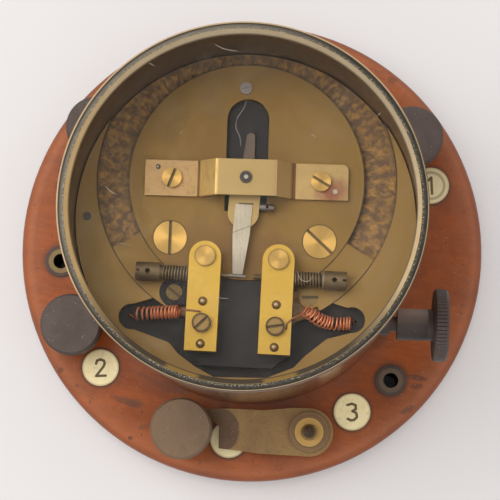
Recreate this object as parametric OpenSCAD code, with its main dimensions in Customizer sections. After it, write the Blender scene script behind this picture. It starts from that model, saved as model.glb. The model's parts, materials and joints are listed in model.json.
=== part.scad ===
// Polarised signalling relay: a wooden base, a glazed brass case and contacts on a swinging carriage
// Millimetres, +Z up. The origin is the centre of the underside of the base, +Y is the back.

/* [Base] */
// Width of wood outside the circle of terminals
base_margin = 14.5; // [13:0.25:17]
// Height of the base with its cloth
base_h = 22; // [20:0.5:30]
// Radius of the moulded top edge of the base
base_edge_r = 5; // [3:0.5:7]
// Thickness of the cloth under the base
cloth_t = 1.5; // [1:0.1:2.5]
// Distance of the cloth's edge from the edge of the base
cloth_margin = 2.5; // [1:0.5:5]
// Depth of the wiring hollow in the underside of the wood
hollow_h = 8; // [6:0.5:10]
// Radius of the wiring hollow
hollow_r = 46; // [40:1:48]

/* [Terminals] */
// Gap between the case and a terminal knob
terminal_gap = 2.6; // [2.2:0.1:4]
// Radius of a terminal knob
knob_r = 11; // [9.5:0.25:11.5]
// Height of a knob's top above the base
knob_top = 17; // [16:0.25:20]
// Height of the wide part of a knob
knob_disc_h = 8; // [6:0.25:8.5]
// Radius of a knob's neck
knob_neck_r = 5; // [4:0.25:6]
// Radius of a terminal's threaded stud
stud_r = 2.3; // [1.8:0.1:2.6]
// Radius of a terminal's collar
collar_r = 6.5; // [5.5:0.25:7]
// Height of a terminal's collar
collar_h = 4; // [3:0.25:6]
// Thickness of a terminal's washer
washer_t = 0.9; // [0.6:0.1:1.5]
// Radius of the stud that the link turns on
link_stud_r = 2.8; // [2.4:0.1:3]
// Free length of that stud above its washers
link_stud_free = 4; // [3:0.25:8]

/* [Link] */
// Thickness of the link
link_t = 1.6; // [1:0.1:2.5]
// Width of the link at its pivot
link_w = 17.4; // [16:0.2:17.8]
// How far the link's inner edge is hollowed at its waist
link_waist = 1.2; // [0.4:0.1:2]
// Width of the prong behind the terminal's stud
prong_w = 5.6; // [4:0.1:5.6]

/* [Labels and fixing holes] */
// Gap between the case and an inlaid label
label_gap = 6.6; // [6.2:0.1:7.4]
// Radius of an inlaid label
label_r = 6.7; // [5.5:0.1:6.9]
// Thickness of a label
label_t = 2; // [1.5:0.1:3]
// How far a label stands above the wood
label_proud = 0.4; // [0.2:0.1:0.8]
// Radius of the hole in a fixing ferrule
ferrule_bore_r = 2.7; // [2:0.1:3]
// Radius of a ferrule's barrel
ferrule_r = 4.6; // [3.8:0.1:5]
// Radius of a ferrule's lip
ferrule_lip_r = 5.7; // [5.3:0.1:6.5]
// Thickness of a ferrule's lip
ferrule_lip_t = 1.2; // [0.8:0.1:2]

/* [Case] */
// Thickness of the case wall
case_t = 1; // [0.8:0.1:1.2]
// Height of the case above the base
case_h = 116; // [110:0.5:130]
// How far the rim stands out beyond the wall
rim_out = 0.6; // [0.4:0.1:1]
// Height of the rim
rim_h = 7; // [6:0.25:8]
// Thickness of the rim's outer lip
lip_t = 0.5; // [0.4:0.05:0.6]
// Width of the cement groove in the rim
groove_w = 1.7; // [1:0.1:2]
// Width of the bevel inside the groove
bevel_w = 1.6; // [1:0.1:2.5]
// How far the bevel slopes down
bevel_drop = 1.4; // [0.8:0.1:1.8]
// Thickness of the glass
glass_t = 2.2; // [1.5:0.1:3]
// Height of the ring that holds the glass from below
glass_ring_h = 2; // [1:0.25:3]
// Width of that ring
glass_ring_w = 1.4; // [1:0.1:2]

/* [Plate] */
// Height of the plate's face above the base
plate_top = 80.5; // [76:0.5:84]
// Gap between the top plate and the case
plate_gap = 0.4; // [0.3:0.05:0.8]
// Width of the plate in front of the carriage's channel
front_land = 19.4; // [19:0.1:21]
// Thickness of the top plate
plate_t = 4; // [4:0.1:5]
// Distance of the arbor behind the middle of the case
arbor_y = 12.9; // [12:0.1:14]
// Outer radius of the carriage's channel, from the arbor
channel_r2 = 49; // [47:0.25:52]
// Width of the carriage's channel
channel_w = 10.5; // [10.2:0.1:10.8]
// Depth of the channel
channel_h = 3; // [2.5:0.1:3]
// Width of the arched slot
arch_w = 13.7; // [12:0.1:15]
// Distance from the arbor to the front end of the arch
arch_front = 10.2; // [10:0.1:13]
// Thickness of the insulating plate
ebonite_t = 3; // [2:0.25:4]

/* [Frame] */
// Thickness of the lower plate
floor_t = 3; // [2:0.25:5]
// Radius of the two front pillars
pillar_r = 5; // [4:0.25:6]
// Distance of a front pillar from the middle line
pillar_x = 24.35; // [24:0.1:27]
// Distance of the front pillars in front of the arbor
pillar_y = 19.4; // [17:0.1:20]
// Radius of the back pillar
back_pillar_r = 3.5; // [2.5:0.25:4]
// Radius of the head of a plate screw
plate_screw_r = 5.4; // [4:0.1:6]
// Radius of the plate's small back screw
back_screw_r = 2; // [1.5:0.1:2.5]

/* [Bridge] */
// Length of the bridge
bridge_l = 66.3; // [64:0.5:70]
// Width of the bridge
bridge_w = 11.7; // [10:0.1:14]
// Thickness of the bridge
bridge_t = 1.5; // [1:0.1:2]
// Height of the raised middle above the feet
bridge_rise = 6.5; // [6.5:0.1:9]
// Distance from the middle to the foot of the slope
slope_out = 15.3; // [14:0.1:17]
// Distance from the middle to the top of the slope
slope_in = 9.2; // [8:0.1:12]
// Distance of a bridge screw from the middle
bridge_screw_x = 24.3; // [23:0.1:26]
// Radius of a bridge screw's head
bridge_screw_r = 3.2; // [2.5:0.1:3.6]
// Radius of the top pivot screw
pivot_screw_r = 2; // [1.8:0.1:2.5]

/* [Armature] */
// Radius of the arbor
arbor_r = 1.5; // [1.2:0.1:1.8]
// Swing of the tongue either way between its contacts
play = 2.3; // [1.5:0.1:3]
// Height of the contacts above the plate
contact_h = 3.6; // [3.5:0.1:4]
// Thickness of the tongue
tongue_t = 0.5; // [0.3:0.05:0.8]
// Width of the tongue at its root
tongue_w = 5.5; // [4:0.1:7]
// Width of the tongue at its tip
tongue_tip_w = 3.2; // [2:0.1:4]
// Distance of the contact pin behind the carriage's channel
pin_inset = 6.7; // [6:0.1:7.2]
// Half the length of the contact pin
pin_half = 2.65; // [2:0.05:3]
// Radius of the contact pin
pin_r = 0.6; // [0.4:0.05:0.8]
// Reach of the pointer behind the arbor
pointer_y = 16; // [12:0.5:18]
// Width of the carrier's tab
tab_w = 10; // [8:0.2:11]
// Distance from the arbor to the end of the tab
tab_y = 16.2; // [15:0.1:18]

/* [Carriage] */
// Angle of the carriage as it is set
carriage_set = -1.2; // [-3:0.1:0]
// Half the angle that the carriage's sector covers
sector_half = 60.5; // [56:0.5:64]
// Distance of a post from the middle line
post_x = 11.85; // [11.6:0.05:12.5]
// Width of a post
post_w = 10.3; // [9.5:0.1:10.8]
// Height of a post
post_h = 5.8; // [5.8:0.1:7]
// Length of a post from its front end to the centre of its round end
post_l = 30.4; // [30:0.1:31.5]
// Distance of a post's front end outside the channel
post_out = 7.7; // [7:0.1:9]
// Distance from a post's front end to its back rivet
rivet_back_in = 16; // [15.6:0.1:17]
// Distance from a post's front end to its front rivet
rivet_front_in = 2.3; // [2.2:0.1:3.2]
// Radius of a rivet
rivet_r = 1.55; // [1.2:0.05:1.8]
// Distance from a post's front end to its wire screw
wire_screw_in = 9; // [8.6:0.1:10.4]
// Radius of a wire screw's head
wire_screw_r = 3.05; // [2.5:0.05:3.2]
// Radius of a clamp screw's head
clamp_screw_r = 3.4; // [2.5:0.1:3.6]
// Radius of a contact screw's thread
contact_screw_r = 2.3; // [2:0.05:2.4]
// Radius of a contact screw's head
contact_head_r = 3.1; // [2.8:0.1:3.3]
// Distance from the middle line to the near side of that head
contact_head_x1 = 26.2; // [25:0.2:28]
// Distance from the middle line to the far side of that head
contact_head_x2 = 34; // [33:0.2:36]

/* [Bias screw] */
// Depth of the bias screw below the plate's face
bias_drop = 12.6; // [12:0.1:14]
// Radius of the bias screw's shaft
bias_shaft_r = 2.5; // [2.2:0.1:2.7]
// Radius of its threaded end
bias_thread_r = 1.6; // [1.2:0.1:1.8]
// Radius of its neck
bias_neck_r = 5.2; // [4:0.1:5.6]
// Radius of its knurled knob
bias_knob_r = 12; // [9:0.25:13]
// Distance of the knob's inner face from the case
bias_knob_out = 15.3; // [12:0.1:18]
// Thickness of the knob
bias_knob_t = 4.6; // [3:0.2:7]
// Number of knurls round a knob
knurls = 60; // [36:4:80]

/* [Coils] */
// Distance of a coil from the middle line
coil_x = 17; // [16.5:0.1:18.5]
// Radius of a coil's winding
coil_r = 12; // [9:0.25:12.5]
// Radius of a coil's core
core_r = 4; // [3:0.25:5]
// Height of the iron below and above the coils
iron_t = 4; // [3:0.25:4.5]
// Thickness of a coil's end cheek
cheek_t = 1.5; // [1:0.1:2]
// Height of the permanent magnet
magnet_h = 24; // [8:0.5:40]
// Width of the permanent magnet
magnet_w = 5.5; // [4:0.25:6]

/* [Leads] */
// Radius of a bare copper wire
wire_r = 0.28; // [0.2:0.02:0.35]
// Radius of a pigtail's coil
pigtail_r = 2; // [1.6:0.05:2.1]
// Radius of an insulated lead
lead_r = 0.9; // [0.6:0.05:1.1]

/* [Hidden] */

$fn = 96;
// Gap between two moving pieces
gap = 0.1;
// Radial clearance of a pin or shaft that turns in its hole
run = 0.05;
// Clearance round a fixed piece in its seat
seat = 0.05;
// Overshoot of a cut past the face that it opens
over = 1;

plate_r = channel_r2 + front_land - arbor_y;
case_in = plate_r + plate_gap;
case_r = case_in + case_t;
terminal_ring_r = case_r + terminal_gap + knob_r;
label_ring_r = case_r + label_gap + label_r;
base_r = terminal_ring_r + base_margin;

wood_z = cloth_t;
base_z = base_h;
rim_z = base_z + case_h;
plate_z = base_z + plate_top;
channel_z = plate_z - channel_h;
ebonite_z = plate_z - plate_t;
under_z = ebonite_z - ebonite_t;
floor_z = base_z + floor_t;
arbor = [0, arbor_y];

// Terminals: back right, back left, left, front and the link's pivot
terminal_angles = [35.3, 144.2, 206, 251.4, 289.2];
knob_count = 4;
front_terminal = 3;
pivot_terminal = 4;
label_angles = [220.2, 303.4, 21.2, 265.2, 157];
ferrule_angles = [318.3, 185.4, 72];
label_floor = label_t - label_proud;
nut_h = 3.5;
nut_r = 4.5;
stud_hole = 0.1;
pocket_r = 7.5;
groove_slot_w = 6;

collar_top = base_z + collar_h;
link_z = collar_top + gap;
link_top = link_z + link_t;
knob_top_z = base_z + knob_top;
knob_bevel = 0.8;
stud_top_z = knob_top_z - 3;
pivot_ring_r = 7.4;
pivot_cup_r = 5.9;
pivot_ring_t = 1;
pivot_cup_t = 1.2;
pivot_top_z = link_top + gap + pivot_ring_t + pivot_cup_t + link_stud_free;

lip_r = case_r + rim_out;
groove_r2 = lip_r - lip_t;
groove_r1 = groove_r2 - groove_w;
bevel_r1 = groove_r1 - bevel_w;
groove_depth = 1.4;
groove_floor_t = 1;
glass_top_z = rim_z - groove_depth - groove_floor_t - seat;
glass_z = glass_top_z - glass_t;
glass_ring_z = glass_z - glass_ring_h;
cement_low = 0.7;

channel_r1 = channel_r2 - channel_w;
front_y = -channel_r2;
pin_y = channel_r1 - pin_inset;
post_front = channel_r2 + post_out;
post_back = post_front - post_l;
rivet_back = post_front - rivet_back_in;
rivet_front = post_front - rivet_front_in;
wire_screw_y = post_front - wire_screw_in;
contact_y = pin_y * cos(play);
clamp_inset = 0.3;
clamp_y = post_back - clamp_inset;
insert_gap = 0.15;

post_z = plate_z + 0.4;
axis_z = plate_z + contact_h;
post_top_z = post_z + post_h;
sector_low_h = 1;
block_z = channel_z + gap + sector_low_h;
insert_z = channel_z - gap;
bridge_foot_z = plate_z + bridge_t;
bridge_top_z = plate_z + bridge_t + bridge_rise;
bias_z = plate_z - bias_drop;
knurl_r = 0.35;
arbor_pivot_r = 0.8;
arbor_shoulder_z = bridge_top_z - 3.8;
steady_x = bridge_l / 2 - 4.15;
steady_pins = [[-steady_x, 3.6], [steady_x, -3.1]];
steady_r = 0.8;
carrier_screw_y = 8.6;
plate_pin_angle = 194.3;
plate_pin_at = (channel_r2 + 4.4) * [cos(plate_pin_angle), sin(plate_pin_angle)];
plate_pin_r = 1.4;
plate_shank_r = 2.5;
back_shank_r = 1.2;
bridge_shank_r = 1.4;

magnet_gap = 0.7;
magnet_in = plate_r - magnet_gap - magnet_w;
coil_y = sqrt(pow(magnet_in - coil_r - 2.1, 2) - pow(coil_x, 2)) - arbor_y;
back_pillar_y = magnet_in - 5.8 - arbor_y;
back_pillar_x = -1.1;
arch_top = back_pillar_y - 3.5;
arch_x = -0.6;
coil_low = floor_z + iron_t;
coil_high = under_z - iron_t - 5.6;
pole_gap = 5.4;
floor_screw_r = magnet_in - 7.5;
floor_head_r = 3.6;
floor_shank_r = 1.8;
floor_shank_l = 8;
floor_screw_angles = [200, 245, 295, 340];

// Front opening of the top plate, seen from the arbor: its curved back edge and its outline outside the channel
opening_back_r = channel_r1 - 5.8;
opening_half_w = 15.5;
opening_shape = [
    [-28, 10], [-38.2, 6.8], [-38.8, 3], [-36.8, -0.2], [-23.6, -4.6], [-20.4, -8.2], [-14.6, -12.3],
    [-8.6, -15.4], [8.4, -15.2], [17.1, -11.6], [20.8, -7.6], [27.6, -2], [36, 0.4], [34, 8.3], [25, 11]
];
opening_points = [for (p = opening_shape) p + [0, front_y]];
lobe_right = [35.6, front_y + 4.4];
lobe_left = [-36, front_y + 3.4];
lobe_r = 4.2;

// The carriage's block and its two screws, seen from the arbor
block_shape = [
    [-13, 17.3], [13, 17.3], [13.2, 11], [17.3, 9.5], [17.3, -6], [11.5, -12], [-11.5, -12],
    [-17.3, -6], [-17.3, 7], [-20.8, 7.5], [-18.4, 13.5], [-13.2, 12.5]
];
block_points = [for (p = block_shape) p + [0, front_y]];
block_screw_left = [-21.6, front_y + 11.3];
block_screw_right = [22.6, front_y + 11.8];
block_screw_r = 2.6;
block_lobe_r = 4.8;
sector_lobe_r = 3.6;
arm_left_end = 241;
arm_right_end = 302;
lug_w = 6;
lug_swing = 3;
lug_r = channel_r1 + 6;
nut_clearance = 0.4;
lug_d = 2 * (bias_thread_r + nut_clearance + 1);
bias_y = lug_r - arbor_y;
case_side_x = sqrt(pow(case_r, 2) - pow(bias_y, 2));
boss_x = case_side_x + 0.8;
neck_gap = 0.3;
neck_x = sqrt(pow(case_r, 2) - pow(bias_y - bias_neck_r, 2)) + neck_gap;
bias_knob_x = case_side_x + bias_knob_out;
bracket_x1 = 26;
bracket_x2 = 31;
shaft_end_x = -8;
tip_r = 0.8;
contact_gap = 0.05;
tip_x = pin_half * cos(play) + pin_y * sin(play) + contact_gap;
tip_root_x = post_x;

// Holes of the leads in the lower plate and the wood, and of the pigtails, which are seen from the arbor
contact_hole_y = arbor_y + front_y - 3.7;
coil_hole_y = magnet_in - 3.5;
lead_holes = [[-33, contact_hole_y], [33, contact_hole_y], [-8, coil_hole_y], [8, coil_hole_y]];
pigtail_ends = [[-36.6, front_y + 4.2], [36.3, front_y + 3.8]];
turn_steps = 8;
left_turns = 11;
right_turns = 16;
coil_rest_z = insert_z + pigtail_r + wire_r + 0.25;
wire_end_z = post_top_z + wire_r + 0.05;
left_knots = [
    [-34.2, front_y + 4.4, coil_rest_z + 0.1], [-28, front_y + 4.8, coil_rest_z + 1.1],
    [-20.8, front_y + 5.2, coil_rest_z + 2.7]
];
right_knots = [
    [34.9, front_y + 3.3, coil_rest_z], [30, front_y + 3, coil_rest_z + 0.2],
    [25.4, front_y + 3.9, coil_rest_z + 1.6], [20.7, front_y + 6.6, post_z + 2.9]
];
left_tail = [
    [-19.7, front_y + 5.4, post_top_z - 1.5], [-19.4, front_y + 5.6, wire_end_z + 0.2],
    [-17.6, front_y + 5.5, wire_end_z], [-13.3, front_y + 5.1, wire_end_z]
];
right_tail = [
    [19.6, front_y + 5.6, post_top_z - 0.8], [18.3, front_y + 4.6, wire_end_z], [16.4, front_y + 3.9, wire_end_z],
    [14.6, front_y + 2.2, wire_end_z], [14.4, front_y + 0.2, wire_end_z]
];

module at(p) { translate([p[0], p[1], 0]) children(); }
module ring_at(angle, r) { rotate(angle) translate([r, 0, 0]) children(); }
module at_arbor() { at(arbor) children(); }
module on_carriage() { at_arbor() rotate(carriage_set) children(); }
module on_armature() { at_arbor() rotate(carriage_set - play) children(); }
module rod(r, z1, z2) { translate([0, 0, z1]) cylinder(r = r, h = z2 - z1); }
module slab(x1, x2, y1, y2, z1, z2) { translate([x1, y1, z1]) cube([x2 - x1, y2 - y1, z2 - z1]); }
module raised(z1, z2) { translate([0, 0, z1]) linear_extrude(z2 - z1) children(); }
module ring(r1, r2, z1, z2) {
    difference() {
        rod(r2, z1, z2);
        rod(r1, z1 - over, z2 + over);
    }
}
module turned(points) { rotate_extrude() polygon(points); }
module along_x(x1, x2, r, y, z) { translate([x1, y, z]) rotate([0, 90, 0]) cylinder(r = r, h = x2 - x1); }
module wedge(a1, a2, r) {
    mid = (a1 + a2) / 2;
    polygon([[0, 0], r * [cos(a1), sin(a1)], 1.5 * r * [cos(mid), sin(mid)], r * [cos(a2), sin(a2)]]);
}

// A slotted screw: its head from z1 to z2 and its shank down to z0, both round, with a slot across the top
module screw(head_r, shank_r, z0, z1, z2, slot_w, slot_h, turn) {
    difference() {
        union() {
            rod(head_r, z1, z2);
            rod(shank_r, z0, z1);
        }
        rotate(turn) slab(-head_r - over, head_r + over, -slot_w / 2, slot_w / 2, z2 - slot_h, z2 + over);
    }
}

// A countersunk slotted screw that lies flush at z2
module flush_screw(head_r, shank_r, z0, z2, head_h, slot_w, slot_h, turn) {
    difference() {
        turned([[0, z0], [shank_r, z0], [shank_r, z2 - head_h], [head_r, z2 - head_h / 2], [head_r, z2], [0, z2]]);
        rotate(turn) slab(-head_r - over, head_r + over, -slot_w / 2, slot_w / 2, z2 - slot_h, z2 + over);
    }
}
module flush_seat(head_r, shank_r, z0, z2, head_h) {
    turned([
        [0, z0 - over], [shank_r + seat, z0 - over], [shank_r + seat, z2 - head_h], [head_r + seat, z2 - head_h / 2],
        [head_r + seat, z2 + over], [0, z2 + over]
    ]);
}

// A round tube along a list of points, with one ring of corners a point
function unit(v) = v / norm(v);
function path_dir(p, i) = unit(p[min(i + 1, len(p) - 1)] - p[max(i - 1, 0)]);
function side_dir(t) = unit(cross(t, abs(t[2]) > 0.9 ? [1, 0, 0] : [0, 0, 1]));
module tube(path, r, sides) {
    n = len(path);
    corners = [
        for (i = [0:n - 1]) let (t = path_dir(path, i), u = side_dir(t), v = cross(u, t))
            for (k = [0:sides - 1]) path[i] + r * (cos(360 * k / sides) * u + sin(360 * k / sides) * v)
    ];
    walls = [
        for (i = [0:n - 2]) for (k = [0:sides - 1]) let (m = (k + 1) % sides)
            [i * sides + k, (i + 1) * sides + k, (i + 1) * sides + m, i * sides + m]
    ];
    ends = [[for (k = [0:sides - 1]) k], [for (k = [sides - 1:-1:0]) (n - 1) * sides + k]];
    polyhedron(corners, concat(walls, ends));
}

// Outlines of the openings, seen from the arbor
module arch_outline(shrink) {
    r = arch_w / 2 - shrink;
    translate([0.5, 0]) {
        translate([arch_x, arch_top - arch_w / 2]) circle(r);
        translate([arch_x - r, -arch_front + shrink]) square([2 * r, arch_top + arch_front - arch_w / 2 - shrink]);
    }
}
module front_outline(shrink) {
    difference() {
        intersection() {
            circle(channel_r1 + over);
            translate([-opening_half_w + shrink, -channel_r2]) square([2 * (opening_half_w - shrink), channel_r2]);
        }
        circle(opening_back_r + shrink);
    }
    difference() {
        union() {
            polygon([for (p = opening_points) p * (1 - shrink / norm(p))]);
            translate(lobe_right) circle(lobe_r - shrink);
            translate(lobe_left) circle(lobe_r - shrink);
        }
        circle(channel_r2 - over / 2);
    }
}

module base_board() {
    flat_r = base_r - base_edge_r;
    quirk = 0.6;
    color("#8f4a2a") difference() {
        rotate_extrude() {
            polygon([
                [0, wood_z], [base_r - quirk, wood_z], [base_r, wood_z + quirk],
                [base_r, base_z - base_edge_r], [flat_r, base_z - base_edge_r], [flat_r, base_z], [0, base_z]
            ]);
            intersection() {
                translate([flat_r, base_z - base_edge_r]) circle(base_edge_r);
                translate([flat_r, base_z - base_edge_r]) square(base_edge_r);
            }
        }
        rod(hollow_r, wood_z - over, wood_z + hollow_h);
        for (a = terminal_angles) rotate(a) {
            slab(hollow_r - over, terminal_ring_r, -groove_slot_w / 2, groove_slot_w / 2, 0, wood_z + hollow_h);
            translate([terminal_ring_r, 0, 0]) rod(pocket_r, 0, wood_z + hollow_h);
            translate([terminal_ring_r, 0, 0]) rod(link_stud_r + stud_hole, 0, base_z + over);
        }
        for (a = label_angles) ring_at(a, label_ring_r)
            rod(label_r + seat, base_z - label_floor, base_z + over);
        for (a = ferrule_angles) ring_at(a, label_ring_r) {
            rod(ferrule_r + seat, 0, base_z + over);
            rod(ferrule_lip_r + seat, base_z - ferrule_lip_t / 2, base_z + over);
        }
        for (p = lead_holes) at(p) rod(lead_r + stud_hole, 0, base_z + over);
        for (a = floor_screw_angles) ring_at(a, floor_screw_r)
            rod(floor_shank_r + seat, base_z - floor_shank_l, base_z + over);
    }
}

module base_cloth() {
    color("#3c4a34") difference() {
        rod(base_r - cloth_margin, 0, cloth_t);
        for (a = ferrule_angles) ring_at(a, label_ring_r) rod(ferrule_r + seat, -over, cloth_t + over);
    }
}

module fixing_ferrules() {
    color("#5b4a38") for (a = ferrule_angles) ring_at(a, label_ring_r) difference() {
        union() {
            rod(ferrule_r, cloth_t, base_z);
            rod(ferrule_lip_r, base_z - ferrule_lip_t / 2, base_z + ferrule_lip_t / 2);
        }
        rod(ferrule_bore_r, 0, base_z + ferrule_lip_t);
    }
}

module label_discs() {
    color("#e2d3a0") for (a = label_angles) ring_at(a, label_ring_r)
        rod(label_r, base_z - label_floor, base_z + label_proud);
}

module terminal_studs() {
    low = wood_z + hollow_h - nut_h - 2;
    color("#7d6a48") for (i = [0:len(terminal_angles) - 1]) ring_at(terminal_angles[i], terminal_ring_r) {
        if (i == pivot_terminal) {
            rod(link_stud_r, low, pivot_top_z - link_stud_r / 2);
            translate([0, 0, pivot_top_z - link_stud_r / 2]) scale([1, 1, 0.5]) intersection() {
                sphere(link_stud_r);
                rod(link_stud_r + over, 0, link_stud_r + over);
            }
        } else {
            rod(stud_r, low, stud_top_z);
        }
    }
}

module terminal_nuts() {
    top = wood_z + hollow_h;
    color("#7d6a48") for (i = [0:len(terminal_angles) - 1]) ring_at(terminal_angles[i], terminal_ring_r) difference() {
        translate([0, 0, top - nut_h]) cylinder(r = nut_r, h = nut_h, $fn = 6);
        rod((i == pivot_terminal ? link_stud_r : stud_r) + seat, 0, top + over);
    }
}

module terminal_collars() {
    color("#6f5c3e") for (i = [0:len(terminal_angles) - 1]) ring_at(terminal_angles[i], terminal_ring_r)
        ring((i == pivot_terminal ? link_stud_r : stud_r) + seat, collar_r, base_z, collar_top);
}

module terminal_washers() {
    color("#8a7448") for (i = [0:knob_count - 1]) ring_at(terminal_angles[i], terminal_ring_r)
        ring(stud_r + seat, collar_r - 0.4, washer_z(i), washer_z(i) + washer_t);
}
function washer_z(i) = i == front_terminal ? link_top + gap : collar_top;

module link_washers() {
    low = link_top + gap;
    color("#a8924f") ring_at(terminal_angles[pivot_terminal], terminal_ring_r) {
        ring(link_stud_r + seat, pivot_ring_r, low, low + pivot_ring_t);
        ring(link_stud_r + seat, pivot_cup_r, low + pivot_ring_t, low + pivot_ring_t + pivot_cup_t);
    }
}

module terminal_knob(i) {
    low = washer_z(i) + washer_t + gap;
    disc_z = knob_top_z - knob_disc_h;
    ring_at(terminal_angles[i], terminal_ring_r) difference() {
        turned([
            [0, low], [knob_neck_r, low], [knob_neck_r, disc_z], [knob_r - knob_bevel, disc_z],
            [knob_r, disc_z + knob_bevel], [knob_r, knob_top_z - knob_bevel], [knob_r - knob_bevel, knob_top_z],
            [0, knob_top_z]
        ]);
        rod(stud_r + run, 0, stud_top_z + 0.5);
        for (k = [0:knurls - 1]) rotate(360 * k / knurls) translate([knob_r + knurl_r / 3, 0, 0])
            rod(knurl_r, disc_z - over, knob_top_z + over, $fn = 4);
    }
}
module terminal_knob_back_right() { color("#4e4541") terminal_knob(0); }
module terminal_knob_back_left() { color("#4e4541") terminal_knob(1); }
module terminal_knob_left() { color("#4e4541") terminal_knob(2); }
module terminal_knob_front() { color("#75675b") terminal_knob(3); }

// The link lies from its pivot towards the front terminal, and its prong passes behind that stud
module link_strap() {
    pivot = terminal_ring_r * [cos(terminal_angles[pivot_terminal]), sin(terminal_angles[pivot_terminal])];
    stud = terminal_ring_r * [cos(terminal_angles[front_terminal]), sin(terminal_angles[front_terminal])];
    along = pivot - stud;
    reach = norm(along);
    half = link_w / 2;
    corner_x = reach - 13.2;
    prong_y = half - prong_w;
    slot_r = stud_r + 0.7;
    color("#80683c") translate([pivot[0], pivot[1], 0]) rotate(atan2(along[1], along[0]))
        raised(link_z, link_top) difference() {
            union() {
                circle(half);
                polygon([
                    [0, half], [-0.15 * reach, half - 0.1], [-0.36 * reach, half - link_waist],
                    [-0.63 * reach, half - 0.9], [-reach - 4, half - 1.6], [-reach - 5.5, half - 3],
                    [-reach - 4, prong_y], [-corner_x - 2, prong_y], [-corner_x, prong_y - 2],
                    [-corner_x, -half + 2.1], [-0.55 * reach, -half + 1.4], [-0.39 * reach, -half + 0.6],
                    [0, -half]
                ]);
            }
            circle(link_stud_r + run);
            translate([-reach, 0]) circle(slot_r);
        }
}

module case_shell() {
    color("#8a6f42") difference() {
        ring(case_in, case_r, base_z, rim_z - rim_h);
        bias_slot();
    }
}
module bias_slot() {
    half = bias_shaft_r + 0.25;
    slab(0, case_r + over, -bias_y - half, -bias_y + half, base_z - over, bias_z);
    along_x(0, case_r + over, half + 0.1, -bias_y, bias_z);
}

module case_rim() {
    color("#c9ad72") turned([
        [case_in, rim_z - rim_h], [lip_r, rim_z - rim_h], [lip_r, rim_z], [groove_r2, rim_z],
        [groove_r2, rim_z - groove_depth], [groove_r1, rim_z - groove_depth], [groove_r1, rim_z - 0.2],
        [bevel_r1, rim_z - 0.2 - bevel_drop], [bevel_r1, glass_top_z + seat], [case_in, glass_top_z + seat]
    ]);
}

module glass_cement() {
    color("#6b675a") ring(groove_r1, groove_r2, rim_z - groove_depth, rim_z - cement_low);
}

module case_glass() {
    color([0.85, 0.9, 0.88, 0.3]) rod(case_in - seat, glass_z, glass_top_z);
}

module glass_ring() {
    color("#8a6f42") ring(case_in - glass_ring_w, case_in - seat, glass_ring_z, glass_z);
}

module case_boss() {
    boss_r = bias_shaft_r + 1.2;
    color("#4a423c") difference() {
        along_x(boss_x - 8, boss_x, boss_r, -bias_y, bias_z);
        rod(case_r + seat, base_z, rim_z);
        bias_slot();
    }
}

module lower_plate() {
    color("#9a7b45") difference() {
        rod(plate_r, base_z, floor_z);
        for (p = lead_holes) at(p) rod(lead_r + stud_hole, 0, floor_z + over);
        for (a = floor_screw_angles) ring_at(a, floor_screw_r)
            rod(floor_shank_r + seat, 0, floor_z + over);
    }
}

module lower_plate_screws() {
    color("#9a7b45") for (a = floor_screw_angles) ring_at(a, floor_screw_r)
        screw(floor_head_r, floor_shank_r, base_z - floor_shank_l, floor_z, floor_z + 1.8, 0.8, 1, a);
}

module front_pillars() {
    color("#9a7b45") at_arbor() for (s = [-1, 1]) translate([s * pillar_x, -pillar_y, 0]) difference() {
        rod(pillar_r, floor_z, under_z);
        rod(plate_shank_r + seat, under_z - 12, under_z + over);
    }
}

module back_pillar() {
    color("#9a7b45") at_arbor() translate([back_pillar_x, back_pillar_y, 0]) difference() {
        rod(back_pillar_r, floor_z, under_z);
        rod(back_shank_r + seat, under_z - 8, under_z + over);
    }
}

module ebonite_plate() {
    color("#2b2829") at_arbor() difference() {
        union() {
            translate([0, -arbor_y, 0]) rod(plate_r - 1.5, under_z, ebonite_z);
            raised(ebonite_z, plate_z - 2.6) arch_outline(insert_gap);
            raised(ebonite_z, insert_z) front_outline(insert_gap);
        }
        rod(arbor_r + 1.5, under_z - over, plate_z);
        lug_slot();
        plate_screw_holes(plate_shank_r, back_shank_r);
        for (p = pigtail_ends) at(p) rod(wire_r + 0.5, under_z - over, plate_z);
    }
}
module lug_slot() {
    half = lug_d / 2 + 0.8;
    slab(-lug_w / 2 - lug_swing, lug_w / 2 + lug_swing, -lug_r - half, -lug_r + half, under_z - over, plate_z);
}
module plate_screw_holes(r, small_r) {
    for (s = [-1, 1]) translate([s * pillar_x, -pillar_y, 0]) rod(r + seat, under_z - over, plate_z + over);
    translate([back_pillar_x, back_pillar_y, 0]) rod(small_r + seat, under_z - over, plate_z + over);
}

module top_plate() {
    color("#96764a") at_arbor() difference() {
        translate([0, -arbor_y, 0]) rod(plate_r, ebonite_z, plate_z);
        ring(channel_r1, channel_r2, channel_z, plate_z + over);
        raised(ebonite_z - over, plate_z + over) arch_outline(0);
        raised(ebonite_z - over, plate_z + over) front_outline(0);
        lug_slot();
        for (s = [-1, 1]) translate([s * pillar_x, -pillar_y, 0])
            flush_seat(plate_screw_r, plate_shank_r, ebonite_z, plate_z, 2.4);
        translate([back_pillar_x, back_pillar_y, 0]) rod(back_shank_r + seat, ebonite_z - over, plate_z + over);
        for (s = [-1, 1]) translate([s * bridge_screw_x, 0, 0])
            rod(bridge_shank_r + seat, ebonite_z - over, plate_z + over);
        at(plate_pin_at) rod(plate_pin_r, plate_z - 2, plate_z + over);
    }
}

module plate_screws() {
    color("#b08c4c") at_arbor() for (s = [-1, 1]) translate([s * pillar_x, -pillar_y, 0])
        flush_screw(plate_screw_r, plate_shank_r, under_z - 10, plate_z, 2.4, 0.9, 1, s < 0 ? 90 : -42);
}

module back_screw() {
    color("#9c978c") at_arbor() translate([back_pillar_x, back_pillar_y, 0])
        screw(back_screw_r, back_shank_r, under_z - 6, plate_z, plate_z + 0.7, 0.5, 0.4, 20);
}

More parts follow.
